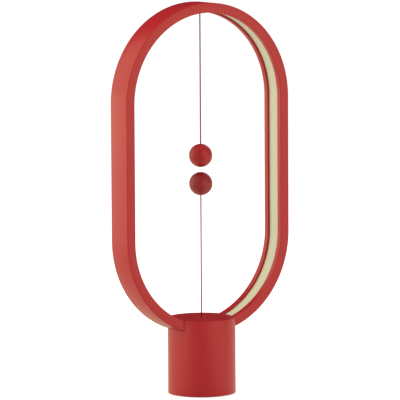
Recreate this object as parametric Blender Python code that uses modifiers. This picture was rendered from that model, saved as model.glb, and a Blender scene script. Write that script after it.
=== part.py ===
"""Magnetic balance lamp: a ring of light on a round base, with two magnet balls on strings.

The lamp stands on the XY plane with its base's axis on +Z. The ring lies in the XZ plane, and the
power inlet is at the back, on the +Y side. It is shown switched on: the balls hold each other
across a small air gap and the lower string is taut. Sizes are in metres.
"""

import math

import bmesh
import bpy
from mathutils import Matrix, Vector

OBJECT_NAME = "magnetic_balance_lamp"

# Fits
CLEARANCE = 0.0003
OVERRUN = 0.0010
WELD = 0.000001

# Ring
LAMP_HEIGHT = 0.4000
RING_OUTER_RADIUS = 0.0995
RING_THICKNESS = 0.0100
RING_DEPTH = 0.0294
RING_SINK = 0.0158
RING_EDGE_ROUND = 0.0007
LIP_WIDTH = 0.0062
DIFFUSER_RECESS = 0.0021
DIFFUSER_THICKNESS = 0.0015
DIFFUSER_LEDGE = 0.0018
LED_CHANNEL_DEPTH = 0.0066
LED_STRIP_THICKNESS = 0.0004
LED_CHIP_LENGTH = 0.0035
LED_CHIP_WIDTH = 0.0028
LED_CHIP_HEIGHT = 0.0008
LED_CHIP_PITCH = 0.0167
BAND_GAP = 0.0180

# Base
BASE_RADIUS = 0.0346
BASE_TOP = 0.0783
BASE_WALL = 0.0025
BASE_EDGE_ROUND = 0.0006
SHELL_LIFT = 0.0008
TOP_PLATE_THICKNESS = 0.0030
FOOT_PAD_THICKNESS = 0.0012
FOOT_PAD_INSET = 0.0016
BOTTOM_PLATE_THICKNESS = 0.0030
BALLAST_THICKNESS = 0.0120
BOARD_BASE_GAP = 0.0048
BOARD_THICKNESS = 0.0016
LUG_RADIUS = 0.0032
LUG_SINK = 0.0008
BOTTOM_LUG_HEIGHT = 0.0100
BOARD_LUG_HEIGHT = 0.0060
SHELL_LUG_HEIGHT = 0.0090
TOP_SCREW_ANGLES = (60, 120, 240, 300)
BOTTOM_SCREW_ANGLES = (90, 210, 330)
BOARD_SCREW_ANGLES = (0, 180)

# Saddle under the ring
SADDLE_BASE_THICKNESS = 0.0080
SADDLE_HALF_LENGTH = 0.0200
SADDLE_EAR_DROP = 0.0042
SADDLE_SEAT_RISE = 0.0042
SADDLE_SIDE_INSET = 0.0006

# Screws
SCREW_RADIUS = 0.0012
SCREW_HEAD_RADIUS = 0.0022
SCREW_HEAD_HEIGHT = 0.0014
SCREW_SLOT_WIDTH = 0.0007
SCREW_SLOT_DEPTH = 0.0006
TOP_SCREW_REACH = 0.0220
BOTTOM_SCREW_REACH = 0.0080
BOARD_SCREW_REACH = 0.0060
BALLAST_SCREW_REACH = 0.0090

# Balls and strings
BALL_RADIUS = 0.0119
BALL_AIR_GAP = 0.0050
LOWER_STRING_SHOWN = 0.1250
STRING_RADIUS = 0.00055
STRING_KNOT_RADIUS = 0.0015
MAGNET_RADIUS = 0.0040
MAGNET_HEIGHT = 0.0080
MAGNET_COVER = 0.0026
PLUG_SET_BACK = 0.0006
PLUG_SKIRT = 0.0050
BEAD_RADIUS = 0.0022
SOCKET_WALL = 0.0009
SOCKET_OPENING_ANGLE = 57
SOCKET_MOUTH_RADIUS = 0.0030
SOCKET_DEPTH = 0.0024

# Pull rod and switch
ROD_FOOT_HEIGHT = 0.0107
ROD_CAP_SHANK = 0.0037
ROD_FLANGE_RADIUS = 0.0062
ROD_FLANGE_THICKNESS = 0.0015
ROD_CAP_SPIGOT = 0.0042
SPRING_RADIUS = 0.0048
SPRING_WIRE_RADIUS = 0.00035
SPRING_TURNS = 5
SWITCH_LENGTH = 0.0128
SWITCH_WIDTH = 0.0058
SWITCH_HEIGHT = 0.0065
SWITCH_OFFSET = 0.0032
SWITCH_BUTTON_RADIUS = 0.0009
SWITCH_BUTTON_TRAVEL = 0.00065
SWITCH_BUTTON_SINK = 0.0022
SWITCH_BUTTON_REACH = 0.0045
LEVER_THICKNESS = 0.0004
LEVER_WIDTH = 0.0032
LEVER_CURL_RADIUS = 0.0006
LEVER_INSET = 0.0011
LEVER_TIP_REACH = 0.0015
LEVER_EAR_THICKNESS = 0.0006
LEVER_EAR_LENGTH = 0.0016
LEVER_EAR_HEIGHT = 0.0015

# Power inlet and lead
INLET_WIDTH = 0.0090
INLET_HEIGHT = 0.0033
INLET_DEPTH = 0.0074
INLET_WALL = 0.00035
INLET_MOUTH_DEPTH = 0.0060
INLET_TONGUE_WIDTH = 0.0066
INLET_TONGUE_THICKNESS = 0.0007
INLET_TONGUE_LENGTH = 0.0046
INLET_SET_BACK = 0.0010
INLET_RELIEF = 0.0006
LEAD_OFFSET = 0.0130
LEAD_RADIUS = 0.0009
LEAD_SLACK = 0.0030
LEAD_POINTS = 13

# Board components, as shares of the board's radius: centre x, centre y, length, width, height
BOARD_PART_SHARES = (
    (0.38, 0.38, 0.16, 0.13, 0.05),
    (-0.35, 0.47, 0.14, 0.14, 0.09),
    (0.50, -0.38, 0.19, 0.08, 0.04),
)

# How finely round shapes are cut
ARC_STEPS = 32
TURN_STEPS = 40
SMALL_TURN_STEPS = 16
BALL_ARC_STEPS = 11
SOCKET_ARC_STEPS = 4
EDGE_STEPS = 2
RING_ROOM_STEPS = 128
SHARP_ANGLE = 30
SPRING_POINTS_PER_TURN = 9

# Heights and places that follow from the sizes above
RING_BOTTOM = BASE_TOP - RING_SINK
RING_INNER_RADIUS = RING_OUTER_RADIUS - RING_THICKNESS
UPPER_ARC_CENTRE = LAMP_HEIGHT - RING_OUTER_RADIUS
LOWER_ARC_CENTRE = RING_BOTTOM + RING_OUTER_RADIUS
RING_STRAIGHT = UPPER_ARC_CENTRE - LOWER_ARC_CENTRE
GROOVE_HALF_WIDTH = RING_DEPTH / 2 - LIP_WIDTH
LEDGE_OFFSET = DIFFUSER_RECESS + DIFFUSER_THICKNESS + CLEARANCE
CHANNEL_HALF_WIDTH = GROOVE_HALF_WIDTH - DIFFUSER_LEDGE
LED_STRIP_WIDTH = 2 * (CHANNEL_HALF_WIDTH - CLEARANCE)

BASE_INNER_RADIUS = BASE_RADIUS - BASE_WALL
LUG_CIRCLE = BASE_INNER_RADIUS - LUG_RADIUS + LUG_SINK
TOP_PLATE_UNDERSIDE = BASE_TOP - TOP_PLATE_THICKNESS
BOTTOM_PLATE_BASE = FOOT_PAD_THICKNESS + CLEARANCE
BOTTOM_PLATE_TOP = BOTTOM_PLATE_BASE + BOTTOM_PLATE_THICKNESS
BALLAST_BASE = BOTTOM_PLATE_TOP + CLEARANCE
BALLAST_TOP = BALLAST_BASE + BALLAST_THICKNESS
BALLAST_RADIUS = LUG_CIRCLE - LUG_RADIUS - CLEARANCE
BOARD_BASE = BALLAST_TOP + BOARD_BASE_GAP
BOARD_TOP = BOARD_BASE + BOARD_THICKNESS
BOARD_RADIUS = BASE_INNER_RADIUS - CLEARANCE

BEAD_SOCKET_RADIUS = BEAD_RADIUS + CLEARANCE
SOCKET_OUTER_RADIUS = BEAD_SOCKET_RADIUS + SOCKET_WALL
LOWER_PIVOT = BASE_TOP - SOCKET_DEPTH
UPPER_SOCKET_MOUTH = LAMP_HEIGHT - RING_THICKNESS + DIFFUSER_RECESS / 2
UPPER_PIVOT = UPPER_SOCKET_MOUTH + SOCKET_DEPTH
LOWER_BALL_HEIGHT = BASE_TOP + LOWER_STRING_SHOWN + BALL_RADIUS
UPPER_BALL_HEIGHT = LOWER_BALL_HEIGHT + 2 * BALL_RADIUS + BALL_AIR_GAP

ROD_FOOT = BOARD_TOP + ROD_FOOT_HEIGHT
ROD_FLANGE_BASE = ROD_FOOT + ROD_CAP_SHANK
ROD_FLANGE_TOP = ROD_FLANGE_BASE + ROD_FLANGE_THICKNESS
ROD_BASE = ROD_FLANGE_TOP + CLEARANCE
ROD_HOLE_RADIUS = SOCKET_OUTER_RADIUS + CLEARANCE

SADDLE_EAR_TOP = RING_BOTTOM - SADDLE_EAR_DROP
SADDLE_BASE = SADDLE_EAR_TOP - SADDLE_BASE_THICKNESS
SADDLE_RADIUS = BASE_INNER_RADIUS - SADDLE_SIDE_INSET
SHELL_LUG_BASE = SADDLE_EAR_TOP + CLEARANCE
SHELL_LUG_TOP = SHELL_LUG_BASE + SHELL_LUG_HEIGHT
SCREW_HOLE_RADIUS = SCREW_RADIUS + CLEARANCE
COUNTERBORE_RADIUS = SCREW_HEAD_RADIUS + CLEARANCE

SWITCH_BASE = BOARD_TOP + CLEARANCE
SWITCH_TOP = SWITCH_BASE + SWITCH_HEIGHT
SWITCH_NEAR_END = -SWITCH_OFFSET
SWITCH_FAR_END = SWITCH_NEAR_END - SWITCH_LENGTH
LEVER_PIVOT_X = SWITCH_FAR_END + LEVER_INSET
LEVER_PIVOT_Z = SWITCH_TOP + CLEARANCE + LEVER_CURL_RADIUS
BUTTON_X = LEVER_PIVOT_X + SWITCH_BUTTON_REACH
LEVER_RUN = LEVER_TIP_REACH - LEVER_PIVOT_X
LEVER_RISE = ROD_FOOT - CLEARANCE - LEVER_THICKNESS / 2 - LEVER_PIVOT_Z
LEVER_SLOPE = LEVER_RISE / LEVER_RUN


def polar(radius, degrees):
    """The point at this radius and angle round the base's axis."""
    angle = math.radians(degrees)
    return radius * math.cos(angle), radius * math.sin(angle)


def clear_scene():
    """Removes what the file holds, such as its default cube."""
    for item in list(bpy.data.objects):
        bpy.data.objects.remove(item, do_unlink=True)


def new_collection(name):
    """A collection in the scene."""
    group = bpy.data.collections.new(name)
    bpy.context.scene.collection.children.link(group)
    return group


def new_material(name, colour, roughness, metallic=0.0):
    """A material of one colour."""
    material = bpy.data.materials.new(name)
    material.use_nodes = True
    shader = material.node_tree.nodes["Principled BSDF"]
    shader.inputs["Base Color"].default_value = (*colour, 1.0)
    shader.inputs["Roughness"].default_value = roughness
    shader.inputs["Metallic"].default_value = metallic
    material.diffuse_color = (*colour, 1.0)
    return material


class Workshop:
    """Makes the lamp's pieces and keeps them, and the cutters, in their collections."""

    def __init__(self):
        self.parts = new_collection(OBJECT_NAME)
        self.cutters = new_collection(f"{OBJECT_NAME}_cutters")

    def add(self, name, mesh, material, at=(0, 0, 0)):
        """A part of the lamp."""
        part = bpy.data.objects.new(name, mesh)
        part.location = at
        mesh.materials.clear()
        mesh.materials.append(material)
        self.parts.objects.link(part)
        return part

    def as_cutter(self, piece):
        """Moves a piece to the cutters, which are neither rendered nor parts."""
        self.move(piece, self.cutters)
        piece.hide_render = True
        piece.display_type = "WIRE"
        return piece

    def as_part(self, piece, material):
        """Moves a piece that was made as a cutter to the parts."""
        self.move(piece, self.parts)
        piece.hide_render = False
        piece.display_type = "TEXTURED"
        piece.data.materials.append(material)
        return piece

    def move(self, piece, collection):
        """Takes a piece out of the collections it is in, and puts it in this one."""
        for group in list(piece.users_collection):
            group.objects.unlink(piece)
        collection.objects.link(piece)

    def box(self, name, low, high):
        """A box between two corners, as a cutter."""
        bpy.ops.mesh.primitive_cube_add(size=1)
        piece = bpy.context.object
        piece.name = name
        size = Vector(high) - Vector(low)
        middle = (Vector(high) + Vector(low)) / 2
        piece.data.transform(Matrix.Translation(middle) @ Matrix.Diagonal((*size, 1)))
        return self.as_cutter(piece)

    def rod(self, name, radius, low, high, at=(0, 0), steps=SMALL_TURN_STEPS):
        """An upright cylinder between two heights, as a cutter."""
        bpy.ops.mesh.primitive_cylinder_add(vertices=steps, radius=radius, depth=high - low)
        piece = bpy.context.object
        piece.name = name
        piece.data.transform(Matrix.Translation((*at, (high + low) / 2)))
        return self.as_cutter(piece)

    def cut(self, part, tool, operation="DIFFERENCE"):
        """A Boolean of the part with a cutter."""
        step = part.modifiers.new(tool.name, "BOOLEAN")
        step.operation = operation
        step.solver = "EXACT"
        step.object = tool

    def turned(self, name, profile, material, at=(0, 0, 0), steps=SMALL_TURN_STEPS):
        """A turned piece. The profile runs down the outer side, and closes unless it ends on the axis."""
        mesh = bpy.data.meshes.new(name)
        points = [(radius, 0, height) for radius, height in profile]
        edges = [(i, i + 1) for i in range(len(points) - 1)]
        if profile[0][0] > 0:
            edges.append((len(points) - 1, 0))
        mesh.from_pydata(points, edges, [])
        part = self.add(name, mesh, material, at)
        spin = part.modifiers.new("turn", "SCREW")
        spin.steps = steps
        spin.render_steps = steps
        spin.use_merge_vertices = True
        spin.merge_threshold = WELD
        return part

    def tube(self, name, points, radius, material, resolution=2):
        """A wire or lead along points, with closed ends."""
        curve = bpy.data.curves.new(name, "CURVE")
        curve.dimensions = "3D"
        curve.bevel_depth = radius
        curve.bevel_resolution = resolution
        curve.use_fill_caps = True
        line = curve.splines.new("POLY")
        line.points.add(len(points) - 1)
        for spot, place in zip(line.points, points):
            spot.co = (*place, 1)
        part = bpy.data.objects.new(name, curve)
        curve.materials.append(material)
        self.parts.objects.link(part)
        return part

    def band(self, name, section, material, gap=0):
        """A band round the ring: a section swept along the ring's inner face.

        The section's points are (distance outwards from the inner face, y). A gap leaves the band
        open by that width at its lowest point, and otherwise it closes on itself.
        """
        profile = bpy.data.curves.new(f"{name}_section", "CURVE")
        profile.dimensions = "2D"
        outline = profile.splines.new("POLY")
        outline.points.add(len(section) - 1)
        for spot, (out, across) in zip(outline.points, section):
            spot.co = (out, across, 0, 1)
        outline.use_cyclic_u = True
        guide = bpy.data.objects.new(f"{name}_section", profile)
        self.cutters.objects.link(guide)

        path = bpy.data.curves.new(f"{name}_path", "CURVE")
        path.dimensions = "3D"
        path.twist_mode = "Z_UP"
        path.bevel_mode = "OBJECT"
        path.bevel_object = guide
        path.use_fill_caps = gap > 0
        line = path.splines.new("POLY")
        points = ring_path(gap)
        line.points.add(len(points) - 1)
        for spot, (x, z) in zip(line.points, points):
            spot.co = (x, z, 0, 1)
        line.use_cyclic_u = gap == 0
        swept = bpy.data.objects.new(f"{name}_path", path)
        self.cutters.objects.link(swept)
        bpy.context.view_layer.update()
        evaluated = swept.evaluated_get(bpy.context.evaluated_depsgraph_get())
        mesh = bpy.data.meshes.new_from_object(evaluated)
        mesh.transform(Matrix.Rotation(math.pi / 2, 4, "X"))
        mesh.name = name
        for used in (swept, guide):
            bpy.data.objects.remove(used, do_unlink=True)
        close_caps(mesh)
        return self.add(name, mesh, material)


def close_caps(mesh):
    """Welds a swept mesh's caps to its sides, and turns its faces outwards."""
    work = bmesh.new()
    work.from_mesh(mesh)
    bmesh.ops.remove_doubles(work, verts=work.verts, dist=WELD)
    bmesh.ops.recalc_face_normals(work, faces=work.faces)
    work.to_mesh(mesh)
    work.free()


def ring_path(gap):
    """Points (x, z) round the ring's inner face, from its lowest point, as seen from the front."""
    start = math.asin(gap / 2 / RING_INNER_RADIUS)
    steps = range(ARC_STEPS + 1)
    quarter = math.pi / 2
    half = ARC_STEPS // 2
    right = [start + (quarter - start) * i / half for i in range(half + 1)]
    points = [
        (RING_INNER_RADIUS * math.sin(a), LOWER_ARC_CENTRE - RING_INNER_RADIUS * math.cos(a))
        for a in right
    ]
    top = [math.pi * i / ARC_STEPS for i in steps]
    points += [
        (RING_INNER_RADIUS * math.cos(a), UPPER_ARC_CENTRE + RING_INNER_RADIUS * math.sin(a))
        for a in top
    ]
    left = [(-x, z) for x, z in reversed(points[: half + 1])]
    points += left if gap else left[:-1]
    return points


def rounded_corner(out, across, radius, turn_from):
    """Points round a section's corner, centred at (out, across), from an angle through 90 degrees."""
    angles = [math.radians(turn_from + 90 * i / EDGE_STEPS) for i in range(EDGE_STEPS + 1)]
    return [(out + radius * math.cos(a), across + radius * math.sin(a)) for a in angles]


def ring_section():
    """The ring's channel section: rounded outside corners, lips, ledges and the channel's floor."""
    half = RING_DEPTH / 2
    inset = RING_EDGE_ROUND
    groove = [
        (0, GROOVE_HALF_WIDTH),
        (LEDGE_OFFSET, GROOVE_HALF_WIDTH),
        (LEDGE_OFFSET, CHANNEL_HALF_WIDTH),
        (LED_CHANNEL_DEPTH, CHANNEL_HALF_WIDTH),
    ]
    far = RING_THICKNESS - inset
    points = rounded_corner(far, half - inset, inset, 0)
    points += rounded_corner(inset, half - inset, inset, 90)
    points += groove
    points += [(out, -across) for out, across in reversed(groove)]
    points += rounded_corner(inset, inset - half, inset, 180)
    points += rounded_corner(far, inset - half, inset, 270)
    return points


def flat_section(low, high, width):
    """A rectangular section between two distances outwards from the ring's inner face."""
    return [(high, -width / 2), (high, width / 2), (low, width / 2), (low, -width / 2)]


def edge_profile(radius, base, top, round_top, round_base=0):
    """The outer side of a turned piece, from the top's flat to the base's, with rounded edges."""
    steps = range(EDGE_STEPS + 1)
    points = []
    for i in steps:
        a = math.pi / 2 * i / EDGE_STEPS
        points.append((radius - round_top * (1 - math.sin(a)), top - round_top * (1 - math.cos(a))))
    if round_base == 0:
        return points + [(radius, base)]
    for i in steps:
        a = math.pi / 2 * i / EDGE_STEPS
        points.append((radius - round_base * (1 - math.cos(a)), base + round_base * (1 - math.sin(a))))
    return points


def socket_profile():
    """A bead socket's mouth and seat, as (radius, height over the pivot), from the mouth inwards."""
    points = [(SOCKET_MOUTH_RADIUS, SOCKET_DEPTH)]
    for i in range(SOCKET_ARC_STEPS + 1):
        a = math.radians(SOCKET_OPENING_ANGLE + (90 - SOCKET_OPENING_ANGLE) * i / SOCKET_ARC_STEPS)
        points.append((BEAD_SOCKET_RADIUS * math.sin(a), BEAD_SOCKET_RADIUS * math.cos(a)))
    return points


def ball_outline(radius, from_angle, to_angle, steps):
    """Points on a half circle, by the angle down from its top."""
    angles = [math.radians(from_angle + (to_angle - from_angle) * i / steps) for i in range(steps + 1)]
    return [(radius * math.sin(a), radius * math.cos(a)) for a in angles]


def flipped(profile):
    """A turned profile upside down, still running down its outer side."""
    return [(radius, -height) for radius, height in reversed(profile)]


def materials():
    """The lamp's materials, by what they are."""
    return {
        "red paint": new_material("red paint", (0.46, 0.030, 0.030), 0.45),
        "diffuser": new_material("cream diffuser", (0.64, 0.60, 0.38), 0.55),
        "string": new_material("string", (0.10, 0.020, 0.022), 0.85),
        "white plastic": new_material("white plastic", (0.75, 0.75, 0.72), 0.45),
        "black plastic": new_material("black plastic", (0.02, 0.02, 0.02), 0.5),
        "steel": new_material("steel", (0.55, 0.55, 0.56), 0.35, 1.0),
        "magnet": new_material("nickel plate", (0.62, 0.60, 0.56), 0.2, 1.0),
        "board": new_material("board green", (0.02, 0.12, 0.05), 0.5),
        "rubber": new_material("foot rubber", (0.03, 0.03, 0.03), 0.9),
        "lead": new_material("lead jacket", (0.7, 0.7, 0.68), 0.6),
    }


def make_ring(shop, finish):
    """The channel ring, with its light strip and diffuser in the groove."""
    ring = shop.band("ring_frame", ring_section(), finish["red paint"])
    floor = RING_BOTTOM + RING_THICKNESS
    shop.cut(ring, shop.rod("ring_rod_hole", ROD_HOLE_RADIUS, RING_BOTTOM - OVERRUN, floor))
    lead_hole = LEAD_RADIUS + CLEARANCE
    shop.cut(ring, shop.rod("ring_lead_hole", lead_hole, RING_BOTTOM - OVERRUN, floor, (LEAD_OFFSET, 0)))
    spigot_hole = SOCKET_OUTER_RADIUS - CLEARANCE
    spigot_end = LAMP_HEIGHT - (RING_THICKNESS - LED_CHANNEL_DEPTH) / 2
    channel = LAMP_HEIGHT - RING_THICKNESS
    shop.cut(ring, shop.rod("ring_bush_hole", spigot_hole, channel, spigot_end))

    deep = LED_CHANNEL_DEPTH - CLEARANCE
    strip = shop.band(
        "led_strip",
        flat_section(deep - LED_STRIP_THICKNESS, deep, LED_STRIP_WIDTH),
        finish["white plastic"],
        BAND_GAP,
    )
    shop.cut(strip, led_chips(shop, deep - LED_STRIP_THICKNESS), "UNION")
    bush_hole = SOCKET_OUTER_RADIUS + CLEARANCE
    shop.cut(strip, shop.rod("strip_bush_hole", bush_hole, channel, LAMP_HEIGHT))

    width = 2 * (GROOVE_HALF_WIDTH - CLEARANCE)
    diffuser = shop.band(
        "light_diffuser",
        flat_section(DIFFUSER_RECESS, DIFFUSER_RECESS + DIFFUSER_THICKNESS, width),
        finish["diffuser"],
        BAND_GAP,
    )
    shop.cut(diffuser, shop.rod("diffuser_bush_hole", bush_hole, channel, LAMP_HEIGHT))


def led_chips(shop, face):
    """One cutter with a light chip at each pitch along the strip, sunk a little into it."""
    radius = RING_INNER_RADIUS + face
    sink = LED_STRIP_THICKNESS / 2
    quarter = math.pi / 2 * radius
    length = 2 * math.pi * radius + 2 * RING_STRAIGHT
    count = int((length - 2 * BAND_GAP) // LED_CHIP_PITCH)
    middle = RING_STRAIGHT / 2 + LOWER_ARC_CENTRE
    bpy.ops.object.select_all(action="DESELECT")
    chips = []
    for i in range(count):
        # The way along the strip from its middle at the top, to the right where positive
        along = (i - (count - 1) / 2) * LED_CHIP_PITCH
        side = math.copysign(1, along)
        way = abs(along)
        if way < quarter:
            turn = way / radius
            x, z = radius * math.sin(turn), UPPER_ARC_CENTRE + radius * math.cos(turn)
        elif way < quarter + RING_STRAIGHT:
            turn = math.pi / 2
            x, z = radius, UPPER_ARC_CENTRE - (way - quarter)
        else:
            turn = (way - RING_STRAIGHT) / radius
            x, z = radius * math.sin(turn), LOWER_ARC_CENTRE + radius * math.cos(turn)
        near_bush = abs(x) < SOCKET_OUTER_RADIUS + LED_CHIP_LENGTH and z > middle
        if near_bush:
            continue
        bpy.ops.mesh.primitive_cube_add(size=1)
        chip = bpy.context.object
        size = Matrix.Diagonal((LED_CHIP_LENGTH, LED_CHIP_WIDTH, LED_CHIP_HEIGHT + sink, 1))
        seat = Matrix.Translation((0, 0, sink - (LED_CHIP_HEIGHT + sink) / 2))
        place = Matrix.Translation((side * x, 0, z)) @ Matrix.Rotation(side * turn, 4, "Y")
        chip.data.transform(place @ seat @ size)
        chips.append(chip)
    for chip in chips:
        chip.select_set(True)
    bpy.context.view_layer.objects.active = chips[0]
    bpy.ops.object.join()
    joined = bpy.context.object
    joined.name = "led_chips"
    return shop.as_cutter(joined)


def make_base(shop, finish):
    """The base's shell, top plate, saddle, ballast, bottom plate and foot."""
    make_shell(shop, finish)
    make_top_plate(shop, finish)
    make_saddle(shop, finish)
    shop.turned(
        "ballast_weight",
        [(0, BALLAST_TOP)]
        + edge_profile(BALLAST_RADIUS, BALLAST_BASE, BALLAST_TOP, BASE_EDGE_ROUND, BASE_EDGE_ROUND)
        + [(0, BALLAST_BASE)],
        finish["steel"],
        steps=TURN_STEPS,
    )
    plate_radius = BASE_INNER_RADIUS - CLEARANCE
    plate = shop.turned(
        "bottom_plate",
        [
            (0, BOTTOM_PLATE_TOP),
            (plate_radius, BOTTOM_PLATE_TOP),
            (plate_radius, BOTTOM_PLATE_BASE),
            (0, BOTTOM_PLATE_BASE),
        ],
        finish["black plastic"],
        steps=TURN_STEPS,
    )
    spots = [polar(LUG_CIRCLE, angle) for angle in BOTTOM_SCREW_ANGLES]
    seat = BOTTOM_PLATE_BASE + SCREW_HEAD_HEIGHT + CLEARANCE
    for number, spot in enumerate(spots + [(0, 0)], 1):
        low, high = BOTTOM_PLATE_BASE - OVERRUN, BOTTOM_PLATE_TOP + OVERRUN
        shop.cut(plate, shop.rod(f"plate_head_hole_{number}", COUNTERBORE_RADIUS, low, seat, spot))
        shop.cut(plate, shop.rod(f"plate_screw_hole_{number}", SCREW_HOLE_RADIUS, low, high, spot))
    ballast = bpy.data.objects["ballast_weight"]
    reach = BALLAST_SCREW_REACH + CLEARANCE
    low = BALLAST_BASE - OVERRUN
    shop.cut(ballast, shop.rod("ballast_screw_hole", SCREW_HOLE_RADIUS, low, seat + reach))
    shop.turned(
        "foot_pad",
        [(0, FOOT_PAD_THICKNESS)]
        + edge_profile(
            BASE_INNER_RADIUS - FOOT_PAD_INSET, 0, FOOT_PAD_THICKNESS, CLEARANCE, CLEARANCE
        )
        + [(0, 0)],
        finish["rubber"],
        steps=TURN_STEPS,
    )
    head = seat - CLEARANCE - SCREW_HEAD_HEIGHT
    for number, spot in enumerate(spots, 1):
        make_screw(shop, f"bottom_screw_{number}", spot, head, BOTTOM_SCREW_REACH, finish["steel"])
    make_screw(shop, "ballast_screw", (0, 0), head, BALLAST_SCREW_REACH, finish["steel"])


def make_shell(shop, finish):
    """The base's tube, with screw lugs inside, notches for the ring and a hole for the inlet."""
    shell = shop.turned(
        "base_shell",
        edge_profile(BASE_RADIUS, SHELL_LIFT, BASE_TOP, BASE_EDGE_ROUND, BASE_EDGE_ROUND)
        + [(BASE_INNER_RADIUS, SHELL_LIFT), (BASE_INNER_RADIUS, BASE_TOP)],
        finish["red paint"],
        steps=TURN_STEPS,
    )
    lug_sets = (
        ("top", TOP_SCREW_ANGLES, SHELL_LUG_BASE, SHELL_LUG_TOP),
        ("board", BOARD_SCREW_ANGLES, BOARD_TOP + CLEARANCE, BOARD_TOP + BOARD_LUG_HEIGHT),
        ("bottom", BOTTOM_SCREW_ANGLES, BALLAST_BASE, BALLAST_BASE + BOTTOM_LUG_HEIGHT),
    )
    for label, angles, base, top in lug_sets:
        for angle in angles:
            spot = polar(LUG_CIRCLE, angle)
            lug = shop.rod(f"shell_{label}_lug_{angle}", LUG_RADIUS, base, top, spot)
            shop.cut(shell, lug, "UNION")
            low, high = base - OVERRUN, top + OVERRUN
            hole = shop.rod(f"shell_{label}_hole_{angle}", SCREW_HOLE_RADIUS, low, high, spot)
            shop.cut(shell, hole)
    shop.cut(shell, ring_room(shop, "shell_ring_notch", RING_OUTER_RADIUS + CLEARANCE))
    half = INLET_WIDTH / 2 + INLET_RELIEF
    low = BOARD_TOP + CLEARANCE - INLET_RELIEF
    high = BOARD_TOP + CLEARANCE + INLET_HEIGHT + INLET_RELIEF
    shop.cut(
        shell,
        shop.box("shell_inlet_hole", (-half, LUG_CIRCLE, low), (half, BASE_RADIUS + OVERRUN, high)),
    )


def ring_room(shop, name, radius, overrun=0):
    """A cutter that holds all above the lower arc at this radius, over the ring's depth."""
    depth = RING_DEPTH + 2 * (CLEARANCE + overrun)
    bpy.ops.mesh.primitive_cylinder_add(vertices=RING_ROOM_STEPS, radius=radius, depth=depth)
    piece = bpy.context.object
    piece.name = name
    upright = Matrix.Translation((0, 0, LOWER_ARC_CENTRE)) @ Matrix.Rotation(math.pi / 2, 4, "X")
    piece.data.transform(upright)
    return shop.as_cutter(piece)


def make_top_plate(shop, finish):
    """The disc that closes the base over the ring, with screw bosses and the rod's hole."""
    radius = BASE_INNER_RADIUS - CLEARANCE
    plate = shop.turned(
        "base_top_plate",
        [(0, BASE_TOP), (radius, BASE_TOP), (radius, TOP_PLATE_UNDERSIDE), (0, TOP_PLATE_UNDERSIDE)],
        finish["red paint"],
        steps=TURN_STEPS,
    )
    boss_radius = LUG_RADIUS - LUG_SINK - CLEARANCE
    for angle in TOP_SCREW_ANGLES:
        spot = polar(LUG_CIRCLE, angle)
        top = TOP_PLATE_UNDERSIDE + TOP_PLATE_THICKNESS / 2
        base = SHELL_LUG_TOP + CLEARANCE
        shop.cut(plate, shop.rod(f"top_plate_boss_{angle}", boss_radius, base, top, spot), "UNION")
        shop.cut(plate, shop.rod(f"top_plate_hole_{angle}", SCREW_HOLE_RADIUS, base - OVERRUN, top, spot))
    low, high = TOP_PLATE_UNDERSIDE - OVERRUN, BASE_TOP + OVERRUN
    shop.cut(plate, shop.rod("top_plate_rod_hole", ROD_HOLE_RADIUS, low, high))
    shop.cut(plate, plate_ring_room(shop))


def plate_ring_room(shop):
    """What the ring takes from under the top plate: all outside its inner face, over its depth."""
    half = RING_DEPTH / 2 + CLEARANCE
    below = TOP_PLATE_UNDERSIDE - OVERRUN
    room = shop.box(
        "top_plate_ring_room",
        (-BASE_RADIUS, -half, below),
        (BASE_RADIUS, half, BASE_TOP + OVERRUN),
    )
    inside = ring_room(shop, "top_plate_inside", RING_INNER_RADIUS - CLEARANCE, OVERRUN)
    shop.cut(room, inside)
    return room


def make_saddle(shop, finish):
    """The block that the ring's lowest stretch sits in, which guides the pull rod."""
    saddle = shop.turned(
        "ring_saddle",
        [
            (0, SADDLE_EAR_TOP),
            (SADDLE_RADIUS, SADDLE_EAR_TOP),
            (SADDLE_RADIUS, SADDLE_BASE),
            (0, SADDLE_BASE),
        ],
        finish["white plastic"],
        steps=TURN_STEPS,
    )
    length, width = SADDLE_HALF_LENGTH, BASE_RADIUS
    low, high = SADDLE_BASE - OVERRUN, SADDLE_EAR_TOP + OVERRUN
    sides = shop.box("saddle_sides", (-length, -width, low), (length, width, high))
    shop.cut(saddle, sides, "INTERSECT")
    half = RING_DEPTH / 2 - CLEARANCE
    middle = (SADDLE_BASE + SADDLE_EAR_TOP) / 2
    rise = RING_BOTTOM + SADDLE_SEAT_RISE
    seat = shop.box("saddle_seat", (-length, -half, middle), (length, half, rise))
    shop.cut(saddle, seat, "UNION")
    shop.cut(saddle, ring_room(shop, "saddle_arc", RING_OUTER_RADIUS + CLEARANCE))
    shop.cut(saddle, shop.rod("saddle_rod_hole", ROD_HOLE_RADIUS, low, rise + OVERRUN))
    lead_hole = LEAD_RADIUS + CLEARANCE
    shop.cut(saddle, shop.rod("saddle_lead_hole", lead_hole, low, rise + OVERRUN, (LEAD_OFFSET, 0)))
    head = SADDLE_BASE - CLEARANCE - SCREW_HEAD_HEIGHT
    for number, angle in enumerate(TOP_SCREW_ANGLES, 1):
        spot = polar(LUG_CIRCLE, angle)
        hole = shop.rod(f"saddle_screw_hole_{number}", SCREW_HOLE_RADIUS, low, rise, spot)
        shop.cut(saddle, hole)
        make_screw(shop, f"top_plate_screw_{number}", spot, head, TOP_SCREW_REACH, finish["steel"])


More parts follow.
